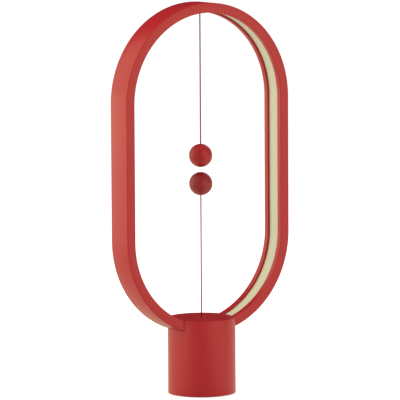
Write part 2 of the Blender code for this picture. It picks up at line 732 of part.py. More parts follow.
def make_screw(shop, name, spot, head, reach, material):
    """A screw driven upwards: its head's underside faces down at this height, with a driver slot."""
    seat = head + SCREW_HEAD_HEIGHT
    top = seat + reach
    profile = [
        (0, top),
        (SCREW_RADIUS, top),
        (SCREW_RADIUS, seat),
        (SCREW_HEAD_RADIUS, seat),
        (SCREW_HEAD_RADIUS, head),
        (0, head),
    ]
    screw = shop.turned(name, profile, material, (*spot, 0), steps=SMALL_TURN_STEPS)
    x, y = spot
    half = SCREW_SLOT_WIDTH / 2
    wide = SCREW_HEAD_RADIUS + OVERRUN
    slot = shop.box(
        f"{name}_slot",
        (x - wide, y - half, head - OVERRUN),
        (x + wide, y + half, head + SCREW_SLOT_DEPTH),
    )
    shop.cut(screw, slot)


def make_upper_string(shop, finish):
    """The bush in the ring's top, and the string, ball and magnet that hang from it."""
    channel_floor = LAMP_HEIGHT - RING_THICKNESS + LED_CHANNEL_DEPTH - CLEARANCE - UPPER_PIVOT
    spigot_end = LAMP_HEIGHT - (RING_THICKNESS - LED_CHANNEL_DEPTH) / 2 - CLEARANCE - UPPER_PIVOT
    spigot_radius = SOCKET_OUTER_RADIUS - 2 * CLEARANCE
    profile = [
        (spigot_radius, spigot_end),
        (spigot_radius, channel_floor),
        (SOCKET_OUTER_RADIUS, channel_floor),
        (SOCKET_OUTER_RADIUS, -SOCKET_DEPTH),
    ]
    profile += [(radius, -height) for radius, height in socket_profile()]
    profile += [(BEAD_SOCKET_RADIUS, spigot_end)]
    shop.turned("top_string_bush", profile, finish["red paint"], (0, 0, UPPER_PIVOT))
    make_bead(shop, "upper_stop_bead", UPPER_PIVOT, finish)
    make_ball(shop, "upper", UPPER_BALL_HEIGHT, 1, finish)
    make_string(shop, "upper_string", UPPER_PIVOT, UPPER_BALL_HEIGHT, -1, finish)


def make_bead(shop, name, pivot, finish):
    """The bead that stops a string in its socket. The string swings about its centre."""
    outline = ball_outline(BEAD_RADIUS, 0, 180, BALL_ARC_STEPS // 2)
    outline[0] = (0, BEAD_RADIUS)
    outline[-1] = (0, -BEAD_RADIUS)
    shop.turned(name, outline, finish["string"], (0, 0, pivot))


def knot_depth():
    """How far inside the ball's surface the centre of the string's end knot lies."""
    return PLUG_SET_BACK + PLUG_SKIRT


def make_string(shop, name, pivot, ball_height, up, finish):
    """A string from its bead to the knot inside its ball. It runs up where up is 1, down where -1."""
    near = BEAD_RADIUS + CLEARANCE
    knot = abs(ball_height - pivot) - BALL_RADIUS + knot_depth()
    neck = math.sqrt(STRING_KNOT_RADIUS**2 - STRING_RADIUS**2)
    half_turn = math.degrees(math.asin(STRING_RADIUS / STRING_KNOT_RADIUS))
    around = ball_outline(STRING_KNOT_RADIUS, 0, 180 - half_turn, BALL_ARC_STEPS // 2)
    around[0] = (0, STRING_KNOT_RADIUS)
    around[-1] = (STRING_RADIUS, -neck)
    profile = [(radius, knot + height) for radius, height in around]
    profile += [(STRING_RADIUS, near), (0, near)]
    if up < 0:
        profile = flipped(profile)
    shop.turned(name, profile, finish["string"], (0, 0, pivot), steps=SMALL_TURN_STEPS // 2)


def make_ball(shop, which, height, up, finish):
    """A ball with its magnet and plug. The string enters at the top where up is 1."""
    pocket = MAGNET_RADIUS + CLEARANCE
    open_angle = math.degrees(math.asin(pocket / BALL_RADIUS))
    floor = -BALL_RADIUS + MAGNET_COVER
    outline = ball_outline(BALL_RADIUS, open_angle, 180, BALL_ARC_STEPS)
    outline[0] = (pocket, BALL_RADIUS * math.cos(math.radians(open_angle)))
    outline[-1] = (0, -BALL_RADIUS)
    ball = [(0, floor), (pocket, floor)] + outline
    low = floor + CLEARANCE
    high = low + MAGNET_HEIGHT
    magnet = [(0, high)]
    magnet += edge_profile(MAGNET_RADIUS, low, high, CLEARANCE, CLEARANCE)
    magnet += [(0, low)]
    plug_top = math.sqrt(BALL_RADIUS**2 - pocket**2) + PLUG_SET_BACK
    knot_room = STRING_KNOT_RADIUS + CLEARANCE
    knot = BALL_RADIUS - knot_depth()
    bore = STRING_RADIUS + CLEARANCE
    plug = [
        (MAGNET_RADIUS, plug_top - PLUG_SET_BACK),
        (MAGNET_RADIUS, high + CLEARANCE),
        (knot_room, high + CLEARANCE),
        (knot_room, knot + knot_room),
        (bore, knot + knot_room),
        (bore, plug_top),
    ]
    pieces = (
        (f"{which}_ball", ball, finish["red paint"], TURN_STEPS),
        (f"{which}_magnet", magnet, finish["magnet"], SMALL_TURN_STEPS),
        (f"{which}_ball_plug", plug, finish["red paint"], SMALL_TURN_STEPS),
    )
    for name, profile, material, steps in pieces:
        if up < 0:
            profile = flipped(profile)
        shop.turned(name, profile, material, (0, 0, height), steps=steps)


def make_lower_string(shop, finish):
    """The pull rod in the base, and the string, ball and magnet that stand over it."""
    base = ROD_BASE - LOWER_PIVOT
    profile = [(SOCKET_OUTER_RADIUS, SOCKET_DEPTH), (SOCKET_OUTER_RADIUS, base)]
    profile += [(BEAD_SOCKET_RADIUS, base)] + list(reversed(socket_profile()))
    shop.turned("pull_rod", profile, finish["red paint"], (0, 0, LOWER_PIVOT))
    spigot = BEAD_SOCKET_RADIUS - CLEARANCE
    cap = [
        (0, ROD_FLANGE_TOP + ROD_CAP_SPIGOT),
        (spigot, ROD_FLANGE_TOP + ROD_CAP_SPIGOT),
        (spigot, ROD_FLANGE_TOP),
        (ROD_FLANGE_RADIUS, ROD_FLANGE_TOP),
        (ROD_FLANGE_RADIUS, ROD_FLANGE_BASE),
        (SOCKET_OUTER_RADIUS, ROD_FLANGE_BASE),
        (SOCKET_OUTER_RADIUS, ROD_FOOT),
        (0, ROD_FOOT),
    ]
    shop.turned("rod_cap", cap, finish["white plastic"])
    make_spring(shop, finish)
    make_bead(shop, "lower_stop_bead", LOWER_PIVOT, finish)
    make_ball(shop, "lower", LOWER_BALL_HEIGHT, -1, finish)
    make_string(shop, "lower_string", LOWER_PIVOT, LOWER_BALL_HEIGHT, 1, finish)


def make_spring(shop, finish):
    """The coil that pushes the pull rod down when its string goes slack."""
    low = ROD_FLANGE_TOP + CLEARANCE + SPRING_WIRE_RADIUS
    high = SADDLE_BASE - CLEARANCE - SPRING_WIRE_RADIUS
    count = SPRING_TURNS * SPRING_POINTS_PER_TURN
    points = []
    for i in range(count + 1):
        x, y = polar(SPRING_RADIUS, 360 * i / SPRING_POINTS_PER_TURN)
        points.append((x, y, low + (high - low) * i / count))
    shop.tube("return_spring", points, SPRING_WIRE_RADIUS, finish["steel"], resolution=1)


def make_board(shop, finish):
    """The circuit board with its screws, the power inlet and the lead to the light strip."""
    board = shop.turned(
        "circuit_board",
        [(0, BOARD_TOP), (BOARD_RADIUS, BOARD_TOP), (BOARD_RADIUS, BOARD_BASE), (0, BOARD_BASE)],
        finish["board"],
        steps=TURN_STEPS,
    )
    for number, shares in enumerate(BOARD_PART_SHARES, 1):
        x, y, length, width, height = (BOARD_RADIUS * share for share in shares)
        block = shop.box(
            f"board_part_{number}",
            (x - length / 2, y - width / 2, BOARD_TOP - BOARD_THICKNESS / 2),
            (x + length / 2, y + width / 2, BOARD_TOP + height),
        )
        shop.cut(board, block, "UNION")
    head = BOARD_BASE - CLEARANCE - SCREW_HEAD_HEIGHT
    for number, angle in enumerate(BOARD_SCREW_ANGLES, 1):
        spot = polar(LUG_CIRCLE, angle)
        low, high = BOARD_BASE - OVERRUN, BOARD_TOP + OVERRUN
        shop.cut(board, shop.rod(f"board_screw_hole_{number}", SCREW_HOLE_RADIUS, low, high, spot))
        make_screw(shop, f"board_screw_{number}", spot, head, BOARD_SCREW_REACH, finish["steel"])
    make_inlet(shop, finish)
    make_lead(shop, finish)


def make_inlet(shop, finish):
    """The power inlet's metal shell, open to the back, with its tongue inside."""
    mouth = math.sqrt(BASE_RADIUS**2 - (INLET_WIDTH / 2) ** 2) - INLET_SET_BACK
    back = mouth - INLET_DEPTH
    base = BOARD_TOP + CLEARANCE
    inlet = shop.as_part(
        slot_prism(shop, "power_inlet", INLET_WIDTH, INLET_HEIGHT, back, mouth, base), finish["steel"]
    )
    inner_width = INLET_WIDTH - 2 * INLET_WALL
    inner_height = INLET_HEIGHT - 2 * INLET_WALL
    start = mouth - INLET_MOUTH_DEPTH
    hollow = slot_prism(
        shop, "inlet_hollow", inner_width, inner_height, start, mouth + OVERRUN, base + INLET_WALL
    )
    shop.cut(inlet, hollow)
    middle = base + INLET_HEIGHT / 2
    half_thick = INLET_TONGUE_THICKNESS / 2
    tongue = shop.box(
        "inlet_tongue",
        (-INLET_TONGUE_WIDTH / 2, start - INLET_WALL, middle - half_thick),
        (INLET_TONGUE_WIDTH / 2, start + INLET_TONGUE_LENGTH, middle + half_thick),
    )
    shop.cut(inlet, tongue, "UNION")


def slot_prism(shop, name, width, height, start, end, base):
    """A bar along Y whose section is a slot with round ends, as a cutter."""
    outline = bpy.data.curves.new(name, "CURVE")
    outline.dimensions = "2D"
    outline.fill_mode = "BOTH"
    outline.extrude = (end - start) / 2
    line = outline.splines.new("POLY")
    radius = height / 2
    reach = width / 2 - radius
    half = SMALL_TURN_STEPS // 2
    turns = [-math.pi / 2 + math.pi * i / half for i in range(half + 1)]
    right = [(reach + radius * math.cos(a), radius * math.sin(a)) for a in turns]
    points = right + [(-x, -z) for x, z in right]
    line.points.add(len(points) - 1)
    for spot, (x, z) in zip(line.points, points):
        spot.co = (x, z, 0, 1)
    line.use_cyclic_u = True
    flat = bpy.data.objects.new(f"{name}_outline", outline)
    shop.cutters.objects.link(flat)
    bpy.context.view_layer.update()
    evaluated = flat.evaluated_get(bpy.context.evaluated_depsgraph_get())
    mesh = bpy.data.meshes.new_from_object(evaluated)
    bpy.data.objects.remove(flat, do_unlink=True)
    close_caps(mesh)
    upright = Matrix.Rotation(math.pi / 2, 4, "X")
    mesh.transform(Matrix.Translation((0, (start + end) / 2, base + radius)) @ upright)
    piece = bpy.data.objects.new(name, mesh)
    bpy.context.scene.collection.objects.link(piece)
    return shop.as_cutter(piece)


def make_lead(shop, finish):
    """The lead from the light strip's end, down through ring and saddle, to the board."""
    strip_back = RING_INNER_RADIUS + LED_CHANNEL_DEPTH
    top = LOWER_ARC_CENTRE - math.sqrt(strip_back**2 - (LEAD_OFFSET - LEAD_RADIUS) ** 2) - CLEARANCE
    low = BOARD_TOP + CLEARANCE
    straight = SADDLE_BASE - 2 * LEAD_RADIUS
    points = [(LEAD_OFFSET, 0, top)]
    for i in range(LEAD_POINTS + 1):
        share = i / LEAD_POINTS
        bow = LEAD_SLACK * (1 - math.cos(2 * math.pi * share)) / 2
        points.append((LEAD_OFFSET + bow, 0, straight + (low - straight) * share))
    shop.tube("led_lead", points, LEAD_RADIUS, finish["lead"])


def make_switch(shop, finish):
    """The switch on the board, with the lever that the rod's foot presses onto its button."""
    half = SWITCH_WIDTH / 2
    low, high = (SWITCH_FAR_END, -half, SWITCH_BASE), (SWITCH_NEAR_END, half, SWITCH_TOP)
    body = shop.as_part(shop.box("micro_switch", low, high), finish["black plastic"])
    inner = LEVER_WIDTH / 2 + CLEARANCE
    for side in (-1, 1):
        near, far = sorted((side * inner, side * (inner + LEVER_EAR_THICKNESS)))
        ear = shop.box(
            f"switch_ear_{'front' if side < 0 else 'back'}",
            (LEVER_PIVOT_X - LEVER_EAR_LENGTH / 2, near, SWITCH_TOP - LEVER_EAR_HEIGHT),
            (LEVER_PIVOT_X + LEVER_EAR_LENGTH / 2, far, SWITCH_TOP + LEVER_EAR_HEIGHT),
        )
        shop.cut(body, ear, "UNION")
    button_base = SWITCH_TOP - SWITCH_BUTTON_SINK
    under_lever = LEVER_PIVOT_Z - LEVER_THICKNESS / 2 + SWITCH_BUTTON_REACH * LEVER_SLOPE
    button_top = under_lever - SWITCH_BUTTON_RADIUS * LEVER_SLOPE - CLEARANCE
    room = button_base - SWITCH_BUTTON_TRAVEL - CLEARANCE
    hole = SWITCH_BUTTON_RADIUS + CLEARANCE
    shop.cut(body, shop.rod("switch_button_hole", hole, room, SWITCH_TOP + OVERRUN, (BUTTON_X, 0)))
    shop.turned(
        "switch_button",
        [
            (0, button_top),
            (SWITCH_BUTTON_RADIUS, button_top),
            (SWITCH_BUTTON_RADIUS, button_base),
            (0, button_base),
        ],
        finish["white plastic"],
        (BUTTON_X, 0, 0),
    )
    make_lever(shop, finish)


def make_lever(shop, finish):
    """The switch's sprung lever: a curl at its pivot and a blade that rises to the rod's foot."""
    bpy.ops.mesh.primitive_cylinder_add(
        vertices=SMALL_TURN_STEPS, radius=LEVER_CURL_RADIUS, depth=LEVER_WIDTH
    )
    curl = bpy.context.object
    curl.name = "switch_lever"
    curl.data.transform(Matrix.Rotation(math.pi / 2, 4, "X"))
    shop.as_part(curl, finish["steel"])
    length = math.hypot(LEVER_RUN, LEVER_RISE)
    half = LEVER_WIDTH / 2
    blade = shop.box(
        "lever_blade", (0, -half, -LEVER_THICKNESS / 2), (length, half, LEVER_THICKNESS / 2)
    )
    tilt = Matrix.Rotation(-math.atan2(LEVER_RISE, LEVER_RUN), 4, "Y")
    pivot = Matrix.Translation((LEVER_PIVOT_X, 0, LEVER_PIVOT_Z))
    blade.data.transform(pivot @ tilt)
    curl.location = (LEVER_PIVOT_X, 0, LEVER_PIVOT_Z)
    shop.cut(curl, blade, "UNION")


def shade(parts):
    """Round pieces are shaded smooth, with their edges kept sharp."""
    for part in parts:
        if part.type == "MESH":
            part.data.shade_smooth()
            part.data.set_sharp_from_angle(angle=math.radians(SHARP_ANGLE))


def main():
    """Makes the lamp."""
    clear_scene()
    finish = materials()
    shop = Workshop()
    make_ring(shop, finish)
    make_base(shop, finish)
    make_board(shop, finish)
    make_switch(shop, finish)
    make_upper_string(shop, finish)
    make_lower_string(shop, finish)
    shade(shop.parts.objects)
    bpy.context.view_layer.update()


main()
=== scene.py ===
"""The looks of the magnetic balance lamp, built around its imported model.

A satin red ring of light stands in a round base. Two magnet balls on twisted strings hold each
other across an air gap inside it. Sizes are in metres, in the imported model's own frame.
"""

import logging
import math
from collections.abc import Callable, Sequence
from dataclasses import dataclass, field
from enum import Enum

import bmesh
import bpy
from mathutils import Matrix, Vector


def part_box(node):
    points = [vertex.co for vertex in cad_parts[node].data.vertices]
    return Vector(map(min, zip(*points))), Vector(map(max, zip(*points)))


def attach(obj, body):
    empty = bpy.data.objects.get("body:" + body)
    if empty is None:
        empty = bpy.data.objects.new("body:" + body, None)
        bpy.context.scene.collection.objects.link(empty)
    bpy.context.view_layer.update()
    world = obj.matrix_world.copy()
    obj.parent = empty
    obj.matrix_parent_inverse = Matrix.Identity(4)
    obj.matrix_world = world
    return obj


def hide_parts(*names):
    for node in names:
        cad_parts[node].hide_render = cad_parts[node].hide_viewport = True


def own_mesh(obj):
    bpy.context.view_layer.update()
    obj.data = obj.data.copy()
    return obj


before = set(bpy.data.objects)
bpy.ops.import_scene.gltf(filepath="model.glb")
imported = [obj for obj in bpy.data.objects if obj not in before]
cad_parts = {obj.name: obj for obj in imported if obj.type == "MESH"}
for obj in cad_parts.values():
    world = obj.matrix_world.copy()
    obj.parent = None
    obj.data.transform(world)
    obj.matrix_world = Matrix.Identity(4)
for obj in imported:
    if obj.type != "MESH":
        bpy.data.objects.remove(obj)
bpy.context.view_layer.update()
log = logging.getLogger("balance_lamp")

MILLIMETRE = 0.001
WELD = 0.000002
SMOOTH_ANGLE = math.radians(32)
FULL_TURN = 2 * math.pi
QUARTER_TURN = math.pi / 2
ROUND_STEPS = 48
WHEEL_STEPS = 256
SLOT_STEPS = 8
BLACK = (0, 0, 0, 1)
WHITE = (1, 1, 1, 1)

Place = tuple[float, float, float]
Pair = tuple[float, float]
Colour = tuple[float, float, float]


class Joining(Enum):
    """How a second solid acts on a piece."""

    CUT = "DIFFERENCE"
    ADD = "UNION"


def put_down() -> None:
    """Leaves edit mode and deselects everything."""
    if bpy.context.mode != "OBJECT":
        bpy.ops.object.mode_set(mode="OBJECT")
    bpy.ops.object.select_all(action="DESELECT")


def pick_up(piece: bpy.types.Object) -> None:
    """Selects one piece alone, as the active one."""
    put_down()
    piece.select_set(True)
    bpy.context.view_layer.objects.active = piece


def settle() -> bpy.types.Object:
    """Moves the place of the primitive that was added last into its mesh, and gives it."""
    bpy.ops.object.transform_apply(location=True, rotation=True, scale=True)
    return bpy.context.object


def corner(centre: Pair, radius: float, start: float, steps: int) -> list[Pair]:
    """Points round a quarter of a circle.

    Args:
        centre: The circle's centre.
        radius: Its radius.
        start: The first point's angle in degrees, with 90 degrees more for the last.
        steps: How many straight steps the quarter is cut into.

    Returns:
        The points, from the first to the last.
    """
    angles = [math.radians(start + 90 * i / steps) for i in range(steps + 1)]
    return [(centre[0] + radius * math.cos(a), centre[1] + radius * math.sin(a)) for a in angles]


def sphere_line(radius: float, top: float, bottom: float, steps: int) -> list[Pair]:
    """Points down a sphere's outline.

    Args:
        radius: The sphere's radius.
        top: The first point's angle from the upward axis, in degrees.
        bottom: The last point's angle from the upward axis, in degrees.
        steps: How many straight steps lie between them.

    Returns:
        Pairs of radius and height, from the top down.
    """
    angles = [math.radians(top + (bottom - top) * i / steps) for i in range(steps + 1)]
    return [(radius * math.sin(a), radius * math.cos(a)) for a in angles]


def upside_down(line: Sequence[Pair]) -> list[Pair]:
    """A turned outline the other way up, still drawn from its top down."""
    return [(radius, -height) for radius, height in reversed(line)]


class Bench:
    """Edit-mode work on one piece: it is drawn, spun, cut and finished here."""

    def __init__(self, name: str) -> None:
        """Starts a piece of this name."""
        self.name = name
        self.piece: bpy.types.Object = None

    def take(self) -> None:
        """Takes the primitive that was added last, with its place moved into its mesh."""
        self.piece = settle()
        self.piece.name = self.name
        self.piece.data.name = self.name

    def edit(self) -> None:
        """Goes into edit mode with everything selected."""
        pick_up(self.piece)
        bpy.ops.object.mode_set(mode="EDIT")
        bpy.ops.mesh.select_mode(type="VERT")
        bpy.ops.mesh.select_all(action="SELECT")

    def draw(self, points: Sequence[Place], closed: bool = False) -> "Bench":
        """Draws a line, vertex by vertex, from a plane that is merged to its first point.

        Args:
            points: The line's points.
            closed: Whether the last point is joined to the first.

        Returns:
            This bench, in edit mode with the whole line selected.
        """
        put_down()
        bpy.ops.mesh.primitive_plane_add(size=MILLIMETRE, location=points[0])
        self.take()
        self.edit()
        bpy.ops.mesh.merge(type="CENTER")
        for here, there in zip(points, points[1:]):
            step = Vector(there) - Vector(here)
            bpy.ops.mesh.extrude_vertices_move(TRANSFORM_OT_translate={"value": step})
        if closed:
            ends = {0, len(points) - 1}
            self.choose(lambda vertex: vertex.index in ends)
            bpy.ops.mesh.edge_face_add()
        bpy.ops.mesh.select_all(action="SELECT")
        return self

    def choose(self, test: Callable[[bmesh.types.BMVert], bool]) -> None:
        """Selects the vertices that pass a test, and what lies wholly between them.

        Args:
            test: Says of a vertex whether it is wanted.
        """
        bpy.ops.mesh.select_all(action="DESELECT")
        work = bmesh.from_edit_mesh(self.piece.data)
        for vertex in work.verts:
            if test(vertex):
                vertex.select = True
        work.select_flush(True)
        bmesh.update_edit_mesh(self.piece.data)

    def spin(
        self, turn: float, steps: int, centre: Place = (0, 0, 0), axis: Place = (0, 0, 1)
    ) -> "Bench":
        """Spins what is selected.

        Args:
            turn: The angle in radians.
            steps: How many steps the turn is cut into.
            centre: A point on the axis.
            axis: The axis's direction.

        Returns:
            This bench, with the spun copy selected.
        """
        bpy.ops.mesh.spin(steps=steps, angle=turn, center=centre, axis=axis)
        return self

    def push(self, move: Place) -> "Bench":
        """Extrudes what is selected along a straight line."""
        bpy.ops.mesh.extrude_region_move(TRANSFORM_OT_translate={"value": move})
        return self

    def weld(self) -> "Bench":
        """Merges doubles and turns the faces outwards."""
        bpy.ops.mesh.select_all(action="SELECT")
        bpy.ops.mesh.remove_doubles(threshold=WELD)
        bpy.ops.mesh.normals_make_consistent(inside=False)
        return self

    def turn(
        self, line: Sequence[Pair], steps: int, closed: bool, at: Place = (0, 0, 0)
    ) -> "Bench":
        """Makes a turned piece from an outline that is spun round the upright axis.

        Args:
            line: Pairs of radius and height.
            steps: How many steps the full turn has.
            closed: Whether the outline closes on itself away from the axis.
            at: Where the outline's own zero lies.

        Returns:
            This bench, with the piece welded.
        """
        x, y, z = at
        self.draw([(x + radius, y, z + height) for radius, height in line], closed)
        self.spin(FULL_TURN, steps, at)
        return self.weld()

    def join(self, other: bpy.types.Object, how: Joining) -> "Bench":
        """Cuts the piece with another solid or adds that solid to it, and uses it up.

        Args:
            other: The solid that acts on the piece.
            how: Whether it cuts or adds.

        Returns:
            This bench, in object mode.
        """
        pick_up(self.piece)
        step = self.piece.modifiers.new("join", "BOOLEAN")
        step.operation = how.value
        step.solver = "EXACT"
        step.object = other
        bpy.ops.object.modifier_apply(modifier=step.name)
        bpy.data.objects.remove(other, do_unlink=True)
        return self

    def done(self) -> bpy.types.Object:
        """Puts the finished piece down, shaded smooth with its edges kept sharp."""
        pick_up(self.piece)
        bpy.ops.object.shade_smooth_by_angle(angle=SMOOTH_ANGLE)
        put_down()
        return self.piece


def round_tool(radius: float, low: float, high: float, at: Pair = (0, 0)) -> bpy.types.Object:
    """An upright round tool for cutting or adding.

    Args:
        radius: Its radius.
        low: Its lower end's height.
        high: Its upper end's height.
        at: Where its axis stands.

    Returns:
        The tool.
    """
    put_down()
    middle = (*at, (low + high) / 2)
    bpy.ops.mesh.primitive_cylinder_add(
        vertices=ROUND_STEPS, radius=radius, depth=high - low, location=middle
    )
    return settle()


def wheel_tool(radius: float, depth: float, height: float) -> bpy.types.Object:
    """A round tool that lies along the front-to-back axis.

    Args:
        radius: Its radius.
        depth: Its length from front to back.
        height: The height of its middle.

    Returns:
        The tool.
    """
    put_down()
    bpy.ops.mesh.primitive_cylinder_add(
        vertices=WHEEL_STEPS,
        radius=radius,
        depth=depth,
        location=(0, 0, height),
        rotation=(QUARTER_TURN, 0, 0),
    )
    return settle()


def box_tool(low: Place, high: Place) -> bpy.types.Object:
    """A box-shaped tool.

    Args:
        low: Its lowest corner.
        high: Its highest corner.

    Returns:
        The tool.
    """
    put_down()
    size = Vector(high) - Vector(low)
    middle = (Vector(high) + Vector(low)) / 2
    bpy.ops.mesh.primitive_cube_add(size=1, location=middle, scale=size)
    return settle()


def slot_tool(
    width: float, height: float, start: float, end: float, middle: float
) -> bpy.types.Object:
    """A bar along the front-to-back axis with a slot-shaped section.

    Args:
        width: The slot's width.
        height: The slot's height, which its round ends share.
        start: The bar's front end.
        end: The bar's back end.
        middle: The height of its middle.

    Returns:
        The bar.
    """
    radius = height / 2
    reach = width / 2 - radius
    line = []
    for side, first in ((reach, -90), (-reach, 90)):
        line += corner((side, middle), radius, first, SLOT_STEPS)
        line += corner((side, middle), radius, first + 90, SLOT_STEPS)[1:]
    bench = Bench("slot_bar").draw([(x, start, z) for x, z in line], closed=True)
    bpy.ops.mesh.edge_face_add()
    bench.push((0, end - start, 0)).weld()
    put_down()
    return bench.piece


class Wiring:
    """Short words for adding and linking a node tree's nodes."""

    def __init__(self, tree: bpy.types.NodeTree) -> None:
        """Works on this tree."""
        self.tree = tree

    def add(self, kind: str, **settings: object) -> bpy.types.Node:
        """Adds a node and sets its properties.

        Args:
            kind: The node's type name.
            settings: Its properties by name.

        Returns:
            The node.
        """
        node = self.tree.nodes.new(kind)
        for name, value in settings.items():
            setattr(node, name, value)
        return node

    def link(self, start: bpy.types.NodeSocket, end: bpy.types.NodeSocket) -> None:
        """Links one node's output to another's input."""
        self.tree.links.new(start, end)

    def feed(self, node: bpy.types.Node, inputs: dict[str | int, object]) -> None:
        """Gives a node's inputs their values, or links them to other nodes' outputs.

        Args:
            node: The node.
            inputs: Its inputs by name or place, each with a number, a colour or a socket.
        """
        for place, value in inputs.items():
            if isinstance(value, bpy.types.NodeSocket):
                self.link(value, node.inputs[place])
            else:
                node.inputs[place].default_value = value

    def group(
        self, tree: bpy.types.ShaderNodeTree, inputs: dict[str | int, object]
    ) -> bpy.types.NodeSocket:
        """Places a shared group with its own values, and gives its one output."""
        node = self.add("ShaderNodeGroup", node_tree=tree)
        self.feed(node, inputs)
        return node.outputs[0]

    def maths(self, operation: str, first: object, second: object) -> bpy.types.NodeSocket:
        """A Math node's output, from two numbers or sockets."""
        node = self.add("ShaderNodeMath", operation=operation)
        self.feed(node, {0: first, 1: second})
        return node.outputs[0]

    def mix(self, factor: object, first: object, second: object) -> bpy.types.NodeSocket:
        """A Mix node's output, from a factor and two colours or sockets."""
        node = self.add("ShaderNodeMix", data_type="RGBA")
        self.feed(node, {"Factor": factor, "A": first, "B": second})
        return node.outputs["Result"]

    def noise(
        self, scale: object, detail: float, stretch: Place = (1, 1, 1)
    ) -> bpy.types.NodeSocket:
        """Noise on the piece's own coordinates.

        Args:
            scale: Waves a metre, as a number or a socket.
            detail: How many finer layers it has.
            stretch: How the pattern is stretched along each axis.

        Returns:
            The noise's value, about a half.
        """
        place = self.add("ShaderNodeTexCoord").outputs["Object"]
        mapping = self.add("ShaderNodeMapping")
        self.feed(mapping, {"Scale": stretch, "Vector": place})
        noise = self.add("ShaderNodeTexNoise")
        turned = mapping.outputs["Vector"]
        self.feed(noise, {"Detail": detail, "Vector": turned, "Scale": scale})
        return noise.outputs["Fac"]


@dataclass(frozen=True)
class SurfaceGroup:
    """A shader effect that several finishes share, with named inputs and one output."""

    name: str
    inputs: dict[str, object]
    output: str
    output_kind: str = "NodeSocketFloat"

    def make(self) -> tuple[bpy.types.ShaderNodeTree, Wiring, bpy.types.Node, bpy.types.Node]:
        """Makes the group's tree with its sockets.

        Returns:
            The tree, its wiring, and its input and output nodes.
        """
        tree = bpy.data.node_groups.new(self.name, "ShaderNodeTree")
        sockets = tree.interface
        for label, value in self.inputs.items():
            kind = "NodeSocketFloat" if isinstance(value, float) else "NodeSocketColor"
            socket = sockets.new_socket(name=label, in_out="INPUT", socket_type=kind)
            socket.default_value = value
        sockets.new_socket(name=self.output, in_out="OUTPUT", socket_type=self.output_kind)
        wiring = Wiring(tree)
        return tree, wiring, wiring.add("NodeGroupInput"), wiring.add("NodeGroupOutput")


class SharedEffects:
    """The shader groups that the finishes share."""

    def __init__(self) -> None:
        """Makes each group once."""
        self.grain = self.make_grain()
        self.tone = self.make_tone()
        self.handling = self.make_handling()

    @staticmethod
    def make_grain() -> bpy.types.ShaderNodeTree:
        """Fine unevenness of a moulded or sprayed surface, as a height."""
        group = SurfaceGroup(
            "fine grain",
            {"Waves a metre": 900.0, "Ripple a metre": 120.0, "Ripple share": 0.5},
            "Height",
        )
        tree, wiring, given, made = group.make()
        fine = wiring.noise(given.outputs["Waves a metre"], 3)
        broad = wiring.noise(given.outputs["Ripple a metre"], 1)
        ripple = wiring.maths("MULTIPLY", broad, given.outputs["Ripple share"])
        wiring.link(wiring.maths("ADD", fine, ripple), made.inputs["Height"])
        return tree

    @staticmethod
    def make_tone() -> bpy.types.ShaderNodeTree:
        """A colour that drifts a little lighter and darker over a surface."""
        group = SurfaceGroup(
            "tone drift",
            {"Colour": (0.5, 0.5, 0.5, 1), "Amount": 0.05, "Waves a metre": 25.0},
            "Colour",
            "NodeSocketColor",
        )
        tree, wiring, given, made = group.make()
        noise = wiring.noise(given.outputs["Waves a metre"], 2)
        drift = wiring.maths("SUBTRACT", noise, 0.5)
        swing = wiring.maths("MULTIPLY", drift, given.outputs["Amount"])
        value = wiring.maths("ADD", swing, 1.0)
        mix = wiring.add("ShaderNodeMix", data_type="RGBA", blend_type="MULTIPLY")
        wiring.feed(mix, {"Factor": 1.0, "A": given.outputs["Colour"], "B": value})
        wiring.link(mix.outputs["Result"], made.inputs["Colour"])
        return tree

    @staticmethod
    def make_handling() -> bpy.types.ShaderNodeTree:
        """A roughness that is a little uneven, as where hands and a cloth have been."""
        group = SurfaceGroup(
            "handling",
            {"Roughness": 0.4, "Amount": 0.06, "Waves a metre": 60.0},
            "Roughness",
        )
        tree, wiring, given, made = group.make()
        noise = wiring.noise(given.outputs["Waves a metre"], 4, (1, 1, 0.4))
        drift = wiring.maths("SUBTRACT", noise, 0.5)
        swing = wiring.maths("MULTIPLY", drift, given.outputs["Amount"])
        gloss = wiring.maths("ADD", given.outputs["Roughness"], swing)
        wiring.link(gloss, made.inputs["Roughness"])
        return tree


